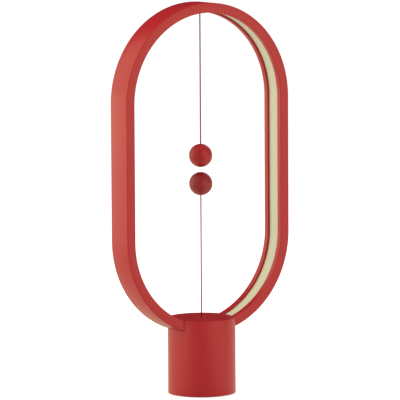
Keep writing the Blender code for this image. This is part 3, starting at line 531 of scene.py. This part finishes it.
@dataclass(frozen=True)
class Finish:
    """A plain finish: one colour that drifts a little, with a fine grain and uneven gloss."""

    slot: str
    label: str
    colour: Colour
    roughness: float
    metallic: float = 0.0
    specular: float = 0.5
    tone: float = 0.06
    tone_waves: float = 25.0
    handling: float = 0.06
    grain: float = 0.00002
    grain_waves: float = 900.0
    ripple_waves: float = 120.0
    ripple_share: float = 0.5
    subsurface: float = 0.0
    glow: float = 0.0

    def make(self, effects: SharedEffects) -> bpy.types.Material:
        """Makes the material.

        Args:
            effects: The shader groups that finishes share.

        Returns:
            The material.
        """
        material = bpy.data.materials.new(self.label)
        material.use_nodes = True
        material.diffuse_color = (*self.colour, 1)
        wiring = Wiring(material.node_tree)
        shader = material.node_tree.nodes["Principled BSDF"]
        colour = (*self.colour, 1)
        if self.subsurface:
            depth = {"Subsurface Weight": self.subsurface, "Subsurface Scale": MILLIMETRE}
            wiring.feed(shader, depth)
        if self.glow:
            wiring.feed(shader, {"Emission Color": colour, "Emission Strength": self.glow})
        tone = wiring.group(
            effects.tone,
            {"Colour": colour, "Amount": self.tone, "Waves a metre": self.tone_waves},
        )
        gloss = wiring.group(
            effects.handling, {"Roughness": self.roughness, "Amount": self.handling}
        )
        grain = wiring.group(
            effects.grain,
            {
                "Waves a metre": self.grain_waves,
                "Ripple a metre": self.ripple_waves,
                "Ripple share": self.ripple_share,
            },
        )
        bump = wiring.add("ShaderNodeBump")
        wiring.feed(bump, {"Strength": 1.0, "Distance": self.grain, "Height": grain})
        wiring.feed(
            shader,
            {
                "Base Color": tone,
                "Metallic": self.metallic,
                "Specular IOR Level": self.specular,
                "Roughness": gloss,
                "Normal": bump.outputs["Normal"],
            },
        )
        return material


def satin_paint(label: str, colour: Colour, roughness: float, specular: float) -> Finish:
    """Sprayed satin red paint, with a fine grain over a broader ripple."""
    return Finish(
        "red_paint", label, colour, roughness, specular=specular, tone=0.05,
        grain=0.000012, grain_waves=1600, ripple_waves=260, ripple_share=1.5,
    )


class FinishName(Enum):
    """The lamp's finishes."""

    PAINT = satin_paint("satin red paint", (0.398, 0.0120, 0.0170), 0.35, 0.50)
    # The upper ball's paint is the red paint made darker: painted shade.
    BALL_PAINT = satin_paint("upper ball's satin red paint, darkened as painted shade", (0.340, 0.0110, 0.0160), 0.36, 0.45)
    # The lower ball's paint is the red paint made darker still: painted shade, as if under the
    # upper ball.
    DARK_PAINT = satin_paint(
        "lower ball's darker satin red paint", (0.260, 0.0120, 0.0150), 0.38, 0.50
    )
    DIFFUSER = Finish(
        "diffuser", "cream diffuser", (0.56, 0.585, 0.43), 0.50, specular=0.35,
        tone=0.04, tone_waves=12, subsurface=0.3, glow=0.08,
    )
    STRING = Finish(
        "string", "twisted string", (0.200, 0.008, 0.012), 0.90, specular=0.08,
        tone=0.5, tone_waves=2600, grain=0.00005, grain_waves=6000, handling=0.1,
    )
    WHITE_PLASTIC = Finish("white_plastic", "white moulded plastic", (0.74, 0.74, 0.71), 0.45)
    BLACK_PLASTIC = Finish("black_plastic", "black moulded plastic", (0.021, 0.021, 0.022), 0.50)
    STEEL = Finish(
        "steel", "plated steel", (0.56, 0.56, 0.57), 0.32, metallic=1.0,
        tone=0.10, tone_waves=90, handling=0.14, grain=0.00001, grain_waves=2500,
    )
    NICKEL = Finish(
        "nickel", "bright nickel plate", (0.62, 0.60, 0.56), 0.18, metallic=1.0, tone=0.05,
        handling=0.08, grain=0.000006,
    )
    BOARD = Finish(
        "board", "green board lacquer", (0.018, 0.12, 0.045), 0.34, tone=0.25, tone_waves=420
    )
    RUBBER = Finish(
        "rubber", "foot rubber", (0.030, 0.030, 0.030), 0.88, specular=0.3,
        tone=0.2, tone_waves=300, grain=0.00006, grain_waves=2200, ripple_share=0.2,
    )
    LEAD_JACKET = Finish("lead_jacket", "pale lead jacket", (0.70, 0.70, 0.67), 0.60)


class Dresser:
    """Dresses pieces in their finishes and hands them to the frame."""

    def __init__(self) -> None:
        """Makes the shared effects, and each finish's material."""
        effects = SharedEffects()
        self.materials = {finish: finish.value.make(effects) for finish in FinishName}

    def dress(
        self, piece: bpy.types.Object, finish: FinishName, body: str, nodes: Sequence[str] = ()
    ) -> bpy.types.Object:
        """Gives a new piece its material, its body and the nodes that it stands for.

        Args:
            piece: The new piece.
            finish: Its finish.
            body: The body that it moves with.
            nodes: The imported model's nodes that it replaces.

        Returns:
            The piece.
        """
        piece.data.materials.clear()
        piece.data.materials.append(self.materials[finish])
        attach(piece, body)
        if nodes:
            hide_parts(*nodes)
        log.info("%s: %d faces, on %s", piece.name, len(piece.data.polygons), body)
        return piece

    def dress_node(self, node: str, finish: FinishName) -> None:
        """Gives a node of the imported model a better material."""
        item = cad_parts[node]
        item.data.materials.clear()
        item.data.materials.append(self.materials[finish])
        log.info("%s: kept as packed", node)


@dataclass
class Ring:
    """The ring of light: a channel section swept round, with its diffuser in the groove."""

    thickness: float = 0.0100
    edge_round: float = 0.0008
    groove_round: float = 0.00025
    lip: float = 0.0062
    recess: float = 0.0021
    diffuser_thickness: float = 0.0015
    diffuser_round: float = 0.0003
    ledge: float = 0.0018
    channel: float = 0.0066
    fit: float = 0.0003
    band_gap: float = 0.0180
    steps: int = 128
    edge_steps: int = 4
    outer: float = field(init=False)
    depth: float = field(init=False)
    upper: float = field(init=False)
    lower: float = field(init=False)

    def __post_init__(self) -> None:
        """Reads the ring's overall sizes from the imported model."""
        low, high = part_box("ring_frame")
        self.outer = (high.x - low.x) / 2
        self.depth = high.y - low.y
        self.upper = high.z - self.outer
        self.lower = low.z + self.outer

    @property
    def inner(self) -> float:
        """The radius of the ring's inner face."""
        return self.outer - self.thickness

    def section(self) -> list[Pair]:
        """The channel section, as distances out from the inner face and across the ring."""
        half, edge, small = self.depth / 2, self.edge_round, self.groove_round
        groove = half - self.lip
        shelf = self.recess + self.diffuser_thickness + self.fit
        channel = groove - self.ledge
        far = self.thickness
        upper = corner((far - edge, half - edge), edge, 0, self.edge_steps)
        upper += corner((edge, half - edge), edge, 90, self.edge_steps)
        upper += corner((small, groove + small), small, 180, self.edge_steps)
        upper += [(shelf, groove), (shelf, channel), (self.channel, channel)]
        return upper + [(out, -across) for out, across in reversed(upper)]

    def sweep(self, name: str, section: Sequence[Pair], gap: float = 0.0) -> Bench:
        """Sweeps a section round the ring from its lowest point, by spins and straight pushes.

        It goes up the left leg first, so an open band starts to the left of that point.

        Args:
            name: The piece's name.
            section: Its section, as distances out from the inner face and across the ring.
            gap: How wide it stays open at the lowest point, or 0 for a closed band.

        Returns:
            The bench with the swept piece.
        """
        start = math.asin(gap / 2 / self.inner)
        line = []
        for out, across in section:
            radius = self.inner + out
            line.append((-radius * math.sin(start), across, self.lower - radius * math.cos(start)))
        bench = Bench(name).draw(line, closed=True)
        if gap:
            bpy.ops.mesh.edge_face_add()
        straight = self.upper - self.lower
        low, high = (0, 0, self.lower), (0, 0, self.upper)
        back = (0, -1, 0)
        bench.spin(QUARTER_TURN - start, self.steps // 2, low, back).push((0, 0, straight))
        bench.spin(math.pi, self.steps, high, back).push((0, 0, -straight))
        bench.spin(QUARTER_TURN - start, self.steps // 2, low, back)
        return bench.weld()

    def frame_piece(self) -> bpy.types.Object:
        """The ring itself, with the holes for the rod, the lead and the string's bush."""
        bench = self.sweep("ring_frame_painted", self.section())
        floor = self.lower - self.inner + self.fit
        under = self.lower - self.outer - self.fit
        low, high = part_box("pull_rod")
        rod = (high.x - low.x) / 2 + self.fit
        bench.join(round_tool(rod, under, floor), Joining.CUT)
        low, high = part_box("led_lead")
        lead = (high.y - low.y) / 2
        place = (low.x + lead, 0)
        bench.join(round_tool(lead + self.fit, under, floor, place), Joining.CUT)
        roof = self.upper + self.inner
        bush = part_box("top_string_bush")[1]
        hole = round_tool(bush.x - self.fit, roof, bush.z + self.fit / 2)
        bench.join(hole, Joining.CUT)
        return bench.done()

    def diffuser_piece(self) -> bpy.types.Object:
        """The cream band in the groove, open for a short way inside the base."""
        edge = self.diffuser_round
        half = self.depth / 2 - self.lip - self.fit
        near, far = self.recess, self.recess + self.diffuser_thickness
        section = [(far, half)]
        section += corner((near + edge, half - edge), edge, 90, self.edge_steps)
        section += corner((near + edge, edge - half), edge, 180, self.edge_steps)
        section += [(far, -half)]
        bench = self.sweep("light_diffuser_cream", section, self.band_gap)
        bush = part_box("top_string_bush")[1].x + self.fit
        bench.join(round_tool(bush, self.upper + self.inner, self.upper + self.outer), Joining.CUT)
        return bench.done()

    def build(self, dresser: Dresser) -> None:
        """Builds the ring's pieces and dresses them."""
        dresser.dress(self.frame_piece(), FinishName.PAINT, "stand", ["ring_frame"])
        dresser.dress(self.diffuser_piece(), FinishName.DIFFUSER, "stand", ["light_diffuser"])
        dresser.dress_node("led_strip", FinishName.WHITE_PLASTIC)


def standing_place(node: str) -> Pair:
    """Where a node's middle stands, seen from above."""
    low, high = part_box(node)
    return (low.x + high.x) / 2, (low.y + high.y) / 2


@dataclass(frozen=True)
class LugSet:
    """The lugs that a set of screws goes into, all at one height."""

    screws: str
    base: float
    height: float
    radius: float
    hole: float
    through: bool = True

    def add_to(self, bench: Bench) -> None:
        """Adds the lugs to a piece, each drilled for its screw."""
        top = self.base + self.height
        end = top + MILLIMETRE if self.through else top
        for node in [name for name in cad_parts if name.startswith(self.screws)]:
            spot = standing_place(node)
            bench.join(round_tool(self.radius, self.base, top, spot), Joining.ADD)
            bench.join(round_tool(self.hole, self.base - MILLIMETRE, end, spot), Joining.CUT)


@dataclass
class Base:
    """The round base: its shell, top plate, foot and power inlet, and what stays as packed."""

    wall: float = 0.0025
    edge_round: float = 0.0006
    plate_thickness: float = 0.0030
    string_mouth: float = 0.0012
    seam: float = 0.00012
    fit: float = 0.0003
    lug_radius: float = 0.0032
    boss_radius: float = 0.0021
    screw_hole: float = 0.0015
    ear_drop: float = 0.0042
    top_lug: float = 0.0090
    board_lug: float = 0.0057
    bottom_lug: float = 0.0100
    inlet_relief: float = 0.0006
    inlet_wall: float = 0.00035
    inlet_floor_walls: int = 4
    steps: int = 160
    edge_steps: int = 5

    def shell_piece(self, ring: Ring) -> bpy.types.Object:
        """The painted tube, with notches for the ring and a hole for the inlet.

        Args:
            ring: The ring that stands in it.

        Returns:
            The tube.
        """
        low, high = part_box("base_shell")
        outer, edge = high.x, self.edge_round
        inner = outer - self.wall
        line = corner((outer - edge, high.z - edge), edge, 0, self.edge_steps)[::-1]
        line += corner((outer - edge, low.z + edge), edge, 270, self.edge_steps)[::-1]
        line += [(inner, low.z), (inner, high.z)]
        bench = Bench("base_shell_painted").turn(line, self.steps, closed=True)
        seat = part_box("ring_frame")[0].z - self.ear_drop + self.fit
        board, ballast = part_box("power_inlet")[0].z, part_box("ballast_weight")[0].z
        for screws, base, height in (
            ("top_plate_screw", seat, self.top_lug),
            ("board_screw", board, self.board_lug),
            ("bottom_screw", ballast, self.bottom_lug),
        ):
            LugSet(screws, base, height, self.lug_radius, self.screw_hole).add_to(bench)
        room = wheel_tool(ring.outer + self.seam, ring.depth + 2 * self.seam, ring.lower)
        bench.join(room, Joining.CUT)
        inlet_low, inlet_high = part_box("power_inlet")
        relief = 2 * self.inlet_relief
        hole = slot_tool(
            inlet_high.x - inlet_low.x + relief,
            inlet_high.z - inlet_low.z + relief,
            inner - self.wall,
            outer + self.wall,
            (inlet_low.z + inlet_high.z) / 2,
        )
        bench.join(hole, Joining.CUT)
        return bench.done()

    def top_piece(self, ring: Ring) -> bpy.types.Object:
        """The painted disc that closes the base over the ring, with the rod's hole.

        The hole's mouth is flared, so the lower string has room to swing with the rod down.

        Args:
            ring: The ring that it closes round.

        Returns:
            The disc.
        """
        foot, top = (point.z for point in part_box("base_top_plate"))
        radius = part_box("base_shell")[1].x - self.wall - self.seam
        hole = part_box("pull_rod")[1].x + self.seam
        edge = self.seam
        base = top - self.plate_thickness
        mouth = self.string_mouth
        line = [(hole, top - mouth), (hole + mouth, top)]
        line += [(radius - edge, top), (radius, top - edge), (radius, base), (hole, base)]
        bench = Bench("base_top_painted").turn(line, self.steps, closed=True)
        rise = base + self.plate_thickness / 2 - foot
        bosses = LugSet(
            "top_plate_screw", foot, rise, self.boss_radius, self.screw_hole, through=False
        )
        bosses.add_to(bench)
        half = ring.depth / 2 + self.seam
        under = base - self.plate_thickness
        room = box_tool((-radius * 2, -half, under), (radius * 2, half, top + edge))
        inside = wheel_tool(ring.inner - self.seam, ring.depth * 2, ring.lower)
        tool = Bench("ring_room")
        tool.piece = room
        tool.join(inside, Joining.CUT)
        bench.join(room, Joining.CUT)
        return bench.done()

    def foot_piece(self) -> bpy.types.Object:
        """The rubber pad that the lamp stands on, with a softened rim."""
        low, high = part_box("foot_pad")
        edge = (high.z - low.z) / 4
        side = high.x - edge
        upper = corner((side, high.z - edge), edge, 0, self.edge_steps)[::-1]
        lower = corner((side, low.z + edge), edge, 270, self.edge_steps)[::-1]
        line = [(0, high.z)] + upper + lower + [(0, low.z)]
        return Bench("foot_pad_rubber").turn(line, self.steps, closed=False).done()

    def inlet_piece(self) -> bpy.types.Object:
        """The power inlet's metal shell with its tongue."""
        low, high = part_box("power_inlet")
        middle = (low.z + high.z) / 2
        width, height = high.x - low.x, high.z - low.z
        bench = Bench("power_inlet_shell")
        bench.piece = slot_tool(width, height, low.y, high.y, middle)
        bench.piece.name = bench.name
        wall = self.inlet_wall
        floor = low.y + self.inlet_floor_walls * wall
        hollow = slot_tool(width - 2 * wall, height - 2 * wall, floor, high.y + wall, middle)
        bench.join(hollow, Joining.CUT)
        reach, tip = width / 2 - height / 2 + wall, high.y - self.inlet_floor_walls * wall
        tongue = box_tool((-reach, floor - wall, middle - wall), (reach, tip, middle + wall))
        bench.join(tongue, Joining.ADD)
        return bench.done()

    def build(self, dresser: Dresser, ring: Ring) -> None:
        """Builds the base's pieces and dresses them, and the nodes that stay as packed."""
        dresser.dress(self.shell_piece(ring), FinishName.PAINT, "stand", ["base_shell"])
        dresser.dress(self.top_piece(ring), FinishName.PAINT, "stand", ["base_top_plate"])
        dresser.dress(self.foot_piece(), FinishName.RUBBER, "stand", ["foot_pad"])
        dresser.dress(self.inlet_piece(), FinishName.STEEL, "stand", ["power_inlet"])
        kept = {
            FinishName.WHITE_PLASTIC: ["ring_saddle", "rod_cap", "switch_button"],
            FinishName.BLACK_PLASTIC: ["bottom_plate", "micro_switch"],
            FinishName.STEEL: ["ballast_weight", "ballast_screw", "return_spring", "switch_lever"],
            FinishName.BOARD: ["circuit_board"],
            FinishName.LEAD_JACKET: ["led_lead"],
        }
        kept[FinishName.STEEL] += [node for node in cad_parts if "_screw_" in node]
        for finish, nodes in kept.items():
            for node in nodes:
                dresser.dress_node(node, finish)


@dataclass
class Strings:
    """The two strings with their beads, bush and rod, and the magnet balls that they hold."""

    string_radius: float = 0.00070
    string_lobes: int = 3
    lobe_steps: int = 6
    string_pitch: float = 0.0036
    pitch_steps: int = 12
    lobe_depth_share: float = 0.16
    ball_radius: float = 0.0119
    magnet_cover: float = 0.0026
    fit: float = 0.0003
    seam: float = 0.00012
    bead_radius: float = 0.0022
    socket_wall: float = 0.0009
    socket_mouth: float = 0.0030
    socket_depth: float = 0.0024
    socket_opening: float = 57
    socket_steps: int = 8
    bead_steps: int = 16
    crown_steps: int = 16
    steps: int = 64
    ball_steps: int = 48

    def build(self, dresser: Dresser) -> None:
        """Builds the pieces of both strings and dresses them."""
        self.build_ball(dresser, "upper", "upper_pendulum", up=1)
        self.build_ball(dresser, "lower", "lower_weight", up=-1)
        self.build_bush(dresser)
        self.build_rod(dresser)
        self.build_bead(dresser, "upper_stop_bead", "upper_bead")
        self.build_bead(dresser, "lower_stop_bead", "lower_bead")
        self.build_string(dresser, "upper_string", "upper_pendulum")
        lower = self.build_string(dresser, "lower_string", "lower_cord")
        self.slacken(lower)
        for node in ("upper_magnet", "lower_magnet"):
            dresser.dress_node(node, FinishName.NICKEL)

    def build_ball(self, dresser: Dresser, which: str, body: str, up: int) -> None:
        """Builds a ball with a pocket, and the crowned plug that closes the pocket.

        Args:
            dresser: Gives the pieces their finish and body.
            which: Whether it is the upper or the lower ball.
            body: The body that it moves with.
            up: 1 where the string enters from above, and -1 from below.
        """
        low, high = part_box(f"{which}_ball")
        plug_low, plug_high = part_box(f"{which}_ball_plug")
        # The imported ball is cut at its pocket's rim: its centre is a radius from its whole side.
        centre = low.z + self.ball_radius if up > 0 else high.z - self.ball_radius
        radius = self.ball_radius
        pocket = plug_high.x + self.seam
        rim = math.degrees(math.asin(pocket / radius))
        soft = math.degrees(self.seam / radius)
        floor = self.magnet_cover - radius
        edge = math.sqrt(radius**2 - pocket**2) - self.seam
        line = [(0, floor), (pocket, floor), (pocket, edge)]
        line += sphere_line(radius, rim + soft, 180, self.ball_steps)
        line[-1] = (0, -radius)
        bore = self.string_radius + self.seam
        # Each ball and its plug take a darker copy of the red paint as painted shade, and the
        # lower ball's copy is darker still.
        paint = FinishName.BALL_PAINT if up > 0 else FinishName.DARK_PAINT
        hidden = plug_low.z - centre if up > 0 else centre - plug_high.z
        first = math.degrees(math.asin(bore / radius))
        crown = sphere_line(radius, first, rim - 2 * soft, self.crown_steps)
        brim = crown[0][1]
        wall = pocket - self.seam
        plug = [(bore + self.seam, brim)] + crown[1:] + [(wall, edge), (wall, hidden)]
        plug += [(bore, hidden), (bore, brim - self.seam)]
        ball = f"{which}_ball"
        for name, outline, closed in ((ball, line, False), (f"{ball}_plug", plug, True)):
            shown = outline if up > 0 else upside_down(outline)
            bench = Bench(f"{name}_painted").turn(shown, 2 * self.steps, closed, (0, 0, centre))
            dresser.dress(bench.done(), paint, body, [name])

    def socket(self) -> list[Pair]:
        """A bead socket's mouth and seat, from its mouth inwards, over the bead's centre."""
        seat = self.bead_radius + self.fit
        mouth, depth = self.socket_mouth, self.socket_depth
        line = [(mouth + self.seam, depth), (mouth, depth - self.seam)]
        return line + sphere_line(seat, self.socket_opening, 90, self.socket_steps)

    def build_bush(self, dresser: Dresser) -> None:
        """Builds the bush in the ring's top, which holds the upper string's bead."""
        low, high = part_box("top_string_bush")
        pivot = low.z + self.socket_depth
        seat = self.bead_radius + self.fit
        outer = seat + self.socket_wall
        edge = self.seam
        top = high.z - pivot
        depth = self.socket_depth
        line = [(outer, top), (outer, edge - depth), (outer - edge, -depth)]
        line += [(radius, -height) for radius, height in self.socket()] + [(seat, top)]
        bench = Bench("top_string_bush_painted").turn(line, self.steps, True, (0, 0, pivot))
        dresser.dress(bench.done(), FinishName.PAINT, "stand", ["top_string_bush"])

    def build_rod(self, dresser: Dresser) -> None:
        """Builds the pull rod, whose socket holds the lower string's bead."""
        low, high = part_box("pull_rod")
        pivot = high.z - self.socket_depth
        seat = self.bead_radius + self.fit
        base = low.z - pivot
        edge = self.seam
        depth = self.socket_depth
        line = [(high.x - edge, depth), (high.x, depth - edge), (high.x, base)]
        line += [(seat, base)] + self.socket()[::-1]
        bench = Bench("pull_rod_painted").turn(line, self.steps, True, (0, 0, pivot))
        dresser.dress(bench.done(), FinishName.PAINT, "rod", ["pull_rod"])

    def build_bead(self, dresser: Dresser, node: str, body: str) -> None:
        """Builds a string's stop bead, which is dimpled where the string passes.

        Args:
            dresser: Gives the bead its finish and body.
            node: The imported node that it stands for.
            body: The body that it moves with.
        """
        low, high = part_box(node)
        radius = (high.z - low.z) / 2
        dimple = math.degrees(math.asin(self.string_radius / radius))
        line = sphere_line(radius, dimple, 180 - dimple, self.bead_steps)
        tip = line[0][1] - self.string_radius / 2
        line = [(0, tip)] + line + [(0, -tip)]
        centre = (0, 0, (low.z + high.z) / 2)
        bench = Bench(f"{node}_knotted").turn(line, self.steps // 2, False, centre)
        dresser.dress(bench.done(), FinishName.STRING, body, [node])

    def build_string(
        self, dresser: Dresser, node: str, body: str
    ) -> bpy.types.Object:
        """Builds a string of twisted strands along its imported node.

        Args:
            dresser: Gives the string its finish and body.
            node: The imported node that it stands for.
            body: The body that it moves with.

        Returns:
            The string.
        """
        low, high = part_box(node)
        count = math.ceil((high.z - low.z) / self.string_pitch * self.pitch_steps)
        path = [(0, 0, low.z + (high.z - low.z) * i / count) for i in range(count + 1)]
        outline = bpy.data.curves.new(f"{node}_section", "CURVE")
        outline.dimensions = "2D"
        rim = outline.splines.new("POLY")
        rim_count = self.lobe_steps * self.string_lobes
        rim.points.add(rim_count - 1)
        for i, spot in enumerate(rim.points):
            angle = FULL_TURN * i / rim_count
            dip = self.lobe_depth_share * (1 - math.cos(self.string_lobes * angle)) / 2
            radius = self.string_radius * (1 - dip)
            spot.co = (radius * math.cos(angle), radius * math.sin(angle), 0, 1)
        rim.use_cyclic_u = True
        section = bpy.data.objects.new(f"{node}_section", outline)
        bpy.context.scene.collection.objects.link(section)
        line = bpy.data.curves.new(f"{node}_line", "CURVE")
        line.dimensions = "3D"
        line.bevel_mode = "OBJECT"
        line.bevel_object = section
        line.use_fill_caps = True
        run = line.splines.new("POLY")
        run.points.add(count)
        for i, (spot, place) in enumerate(zip(run.points, path)):
            spot.co = (*place, 1)
            spot.tilt = FULL_TURN * i / self.pitch_steps
        piece = bpy.data.objects.new(f"{node}_twisted", line)
        bpy.context.scene.collection.objects.link(piece)
        pick_up(piece)
        bpy.ops.object.convert(target="MESH")
        piece = bpy.context.object
        bpy.data.objects.remove(section, do_unlink=True)
        bench = Bench(f"{node}_twisted")
        bench.piece = piece
        bench.edit()
        bench.weld()
        piece = bench.done()
        dresser.dress(piece, FinishName.STRING, body, [node])
        return piece

    def slacken(self, string: bpy.types.Object) -> None:
        """Gives the lower string a mesh of its own."""
        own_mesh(string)


@dataclass(frozen=True)
class PhotoCamera:
    """The camera, at the place that was fitted to the photograph's outlines."""

    azimuth: float = -34.358
    elevation: float = 6.315
    distance: float = 4.5033
    roll: float = -0.326
    lens: float = 398.2
    sensor: float = 36.0
    aim_right: float = -0.000896
    aim_height: float = 0.19842
    near: float = 0.5
    far: float = 200.0

    def place(self) -> None:
        """Adds the camera to the scene and looks through it."""
        turn, rise = math.radians(self.azimuth), math.radians(self.elevation)
        level = math.cos(rise)
        back = Vector((math.sin(turn) * level, -math.cos(turn) * level, math.sin(rise)))
        right = Vector((math.cos(turn), math.sin(turn), 0))
        up = back.cross(right)
        aim = right * self.aim_right + Vector((0, 0, self.aim_height))
        lens = bpy.data.cameras.new("photo_camera")
        lens.lens = self.lens
        lens.sensor_width = self.sensor
        lens.clip_start = self.near
        lens.clip_end = self.far
        camera = bpy.data.objects.new("photo_camera", lens)
        bpy.context.scene.collection.objects.link(camera)
        roll = math.radians(self.roll)
        across = right * math.cos(roll) + up * math.sin(roll)
        rising = up * math.cos(roll) - right * math.sin(roll)
        turned = Matrix((across, rising, back)).transposed().to_4x4()
        camera.matrix_world = Matrix.Translation(aim + back * self.distance) @ turned
        bpy.context.scene.camera = camera


@dataclass(frozen=True)
class SoftboxBank:
    """Softboxes side by side that all face the lamp, upright on the floor or hung above it."""

    name: str
    bearings: tuple[float, ...]
    radiance: Colour
    elevation: float = 0.0
    mirrored: bool = True
    distance: float = 1.8
    width: float = 0.96
    height: float = 2.0

    def place(self) -> None:
        """Adds the bank's lights to the scene."""
        for bearing in self.bearings:
            light = bpy.data.lights.new(self.name, "AREA")
            light.shape = "RECTANGLE"
            light.size = self.width
            light.size_y = self.height
            light.energy = math.pi * self.width * self.height
            light.color = self.radiance
            item = bpy.data.objects.new(self.name, light)
            bpy.context.scene.collection.objects.link(item)
            turn, rise = math.radians(bearing), math.radians(self.elevation)
            level = math.cos(rise)
            away = Vector((math.cos(turn) * level, math.sin(turn) * level, math.sin(rise)))
            item.location = away * self.distance + Vector((0, 0, level * self.height / 2))
            item.rotation_mode = "QUATERNION"
            item.rotation_quaternion = away.to_track_quat("Z", "Y")
            item.visible_glossy = self.mirrored


@dataclass(frozen=True)
class Studio:
    """The pale floor, the white behind it, the room's plain light and the softboxes."""

    floor_size: float = 80.0
    floor_colour: Colour = (0.82, 0.82, 0.82)
    floor_roughness: float = 0.9
    floor_lift: float = 0.58
    floor_sheen: Colour = (1.00, 0.88, 0.62)
    flag_bearing: float = -124.0
    flag_width: float = 72.0
    room: Colour = (0.56, 0.60, 0.60)
    gloss_share: float = 0.02
    softboxes: tuple[SoftboxBank, ...] = (
        SoftboxBank("softbox_right_front", (-90, -60), (1.24, 0.82, 0.54)),
        SoftboxBank("softbox_right", (0, 30), (0.50, 0.46, 0.73)),
        SoftboxBank("softbox_left", (120, 150, 180), (1.51, 1.21, 0.85)),
        SoftboxBank(
            "softbox_top", (0,), (1.50, 1.20, 1.00), 90, mirrored=False, distance=2.2, width=2.0
        ),
    )

    @staticmethod
    def clear_rays(wiring: Wiring) -> bpy.types.NodeSocket:
        """One for the camera's rays, also through clear pieces, and zero for the rest."""
        rays = wiring.add("ShaderNodeLightPath").outputs
        return wiring.maths("MAXIMUM", rays["Is Camera Ray"], rays["Is Transmission Ray"])

    def build_world(self) -> None:
        """The room's light: plain white where it is looked at, and faint in reflections."""
        world = bpy.data.worlds.new("studio")
        bpy.context.scene.world = world
        world.use_nodes = True
        wiring = Wiring(world.node_tree)
        world.node_tree.nodes.clear()
        glossy = wiring.add("ShaderNodeLightPath").outputs["Is Glossy Ray"]
        light = wiring.add("ShaderNodeBackground")
        dull = wiring.maths("SUBTRACT", 1.0, glossy)
        wiring.feed(light, {"Color": (*self.room, 1), "Strength": dull})
        white = wiring.add("ShaderNodeBackground")
        wiring.feed(white, {"Color": WHITE})
        faint = wiring.maths("MULTIPLY", glossy, self.gloss_share)
        seen = wiring.maths("MAXIMUM", self.clear_rays(wiring), faint)
        mix = wiring.add("ShaderNodeMixShader")
        wiring.feed(mix, {"Fac": seen, 1: light.outputs[0], 2: white.outputs[0]})
        wiring.feed(wiring.add("ShaderNodeOutputWorld"), {"Surface": mix.outputs[0]})

    def flag(self, wiring: Wiring) -> bpy.types.NodeSocket:
        """How lit the floor looks in reflections, with a dark sector as from a black flag.

        Args:
            wiring: The floor material's wiring.

        Returns:
            A socket from 0 in the middle of the dark sector to 1 outside it.
        """
        place = wiring.add("ShaderNodeTexCoord").outputs["Object"]
        split = wiring.add("ShaderNodeSeparateXYZ")
        wiring.link(place, split.inputs[0])
        bearing = wiring.maths("ARCTAN2", split.outputs["Y"], split.outputs["X"])
        turn = wiring.maths("SUBTRACT", bearing, math.radians(self.flag_bearing))
        apart = wiring.maths("ARCCOSINE", wiring.maths("COSINE", turn, 0.0), 0.0)
        swing = wiring.maths("MULTIPLY", apart, math.pi / math.radians(self.flag_width))
        fall = wiring.maths("COSINE", wiring.maths("MINIMUM", swing, math.pi), 0.0)
        return wiring.maths("MULTIPLY", wiring.maths("SUBTRACT", 1.0, fall), 0.5)

    def build_floor(self) -> None:
        """The pale floor, lifted to white where the camera sees it, with the lamp's shadow."""
        put_down()
        bpy.ops.mesh.primitive_plane_add(size=self.floor_size)
        floor = bpy.context.object
        floor.name = "studio_floor"
        material = bpy.data.materials.new("pale floor")
        material.use_nodes = True
        wiring = Wiring(material.node_tree)
        shader = material.node_tree.nodes["Principled BSDF"]
        glossy = wiring.add("ShaderNodeLightPath").outputs["Is Glossy Ray"]
        lift = wiring.maths("MULTIPLY", self.clear_rays(wiring), self.floor_lift)
        sheen = wiring.maths("MULTIPLY", glossy, self.flag(wiring))
        wiring.feed(
            shader,
            {
                "Roughness": self.floor_roughness,
                "Specular IOR Level": 0.0,
                "Base Color": wiring.mix(glossy, (*self.floor_colour, 1), BLACK),
                "Emission Color": wiring.mix(glossy, WHITE, (*self.floor_sheen, 1)),
                "Emission Strength": wiring.maths("ADD", lift, sheen),
            },
        )
        floor.data.materials.append(material)

    def build(self) -> None:
        """Builds the whole studio."""
        self.build_world()
        self.build_floor()
        for bank in self.softboxes:
            bank.place()
        bpy.context.scene.view_settings.view_transform = "Standard"


def main() -> None:
    """Sets the camera and studio, then builds the lamp's sub-assemblies in order."""
    logging.basicConfig(level=logging.INFO, format="%(message)s")
    put_down()
    PhotoCamera().place()
    Studio().build()
    dresser = Dresser()
    ring = Ring()
    ring.build(dresser)
    Base().build(dresser, ring)
    Strings().build(dresser)
    put_down()


if __name__ == "__main__":
    main()
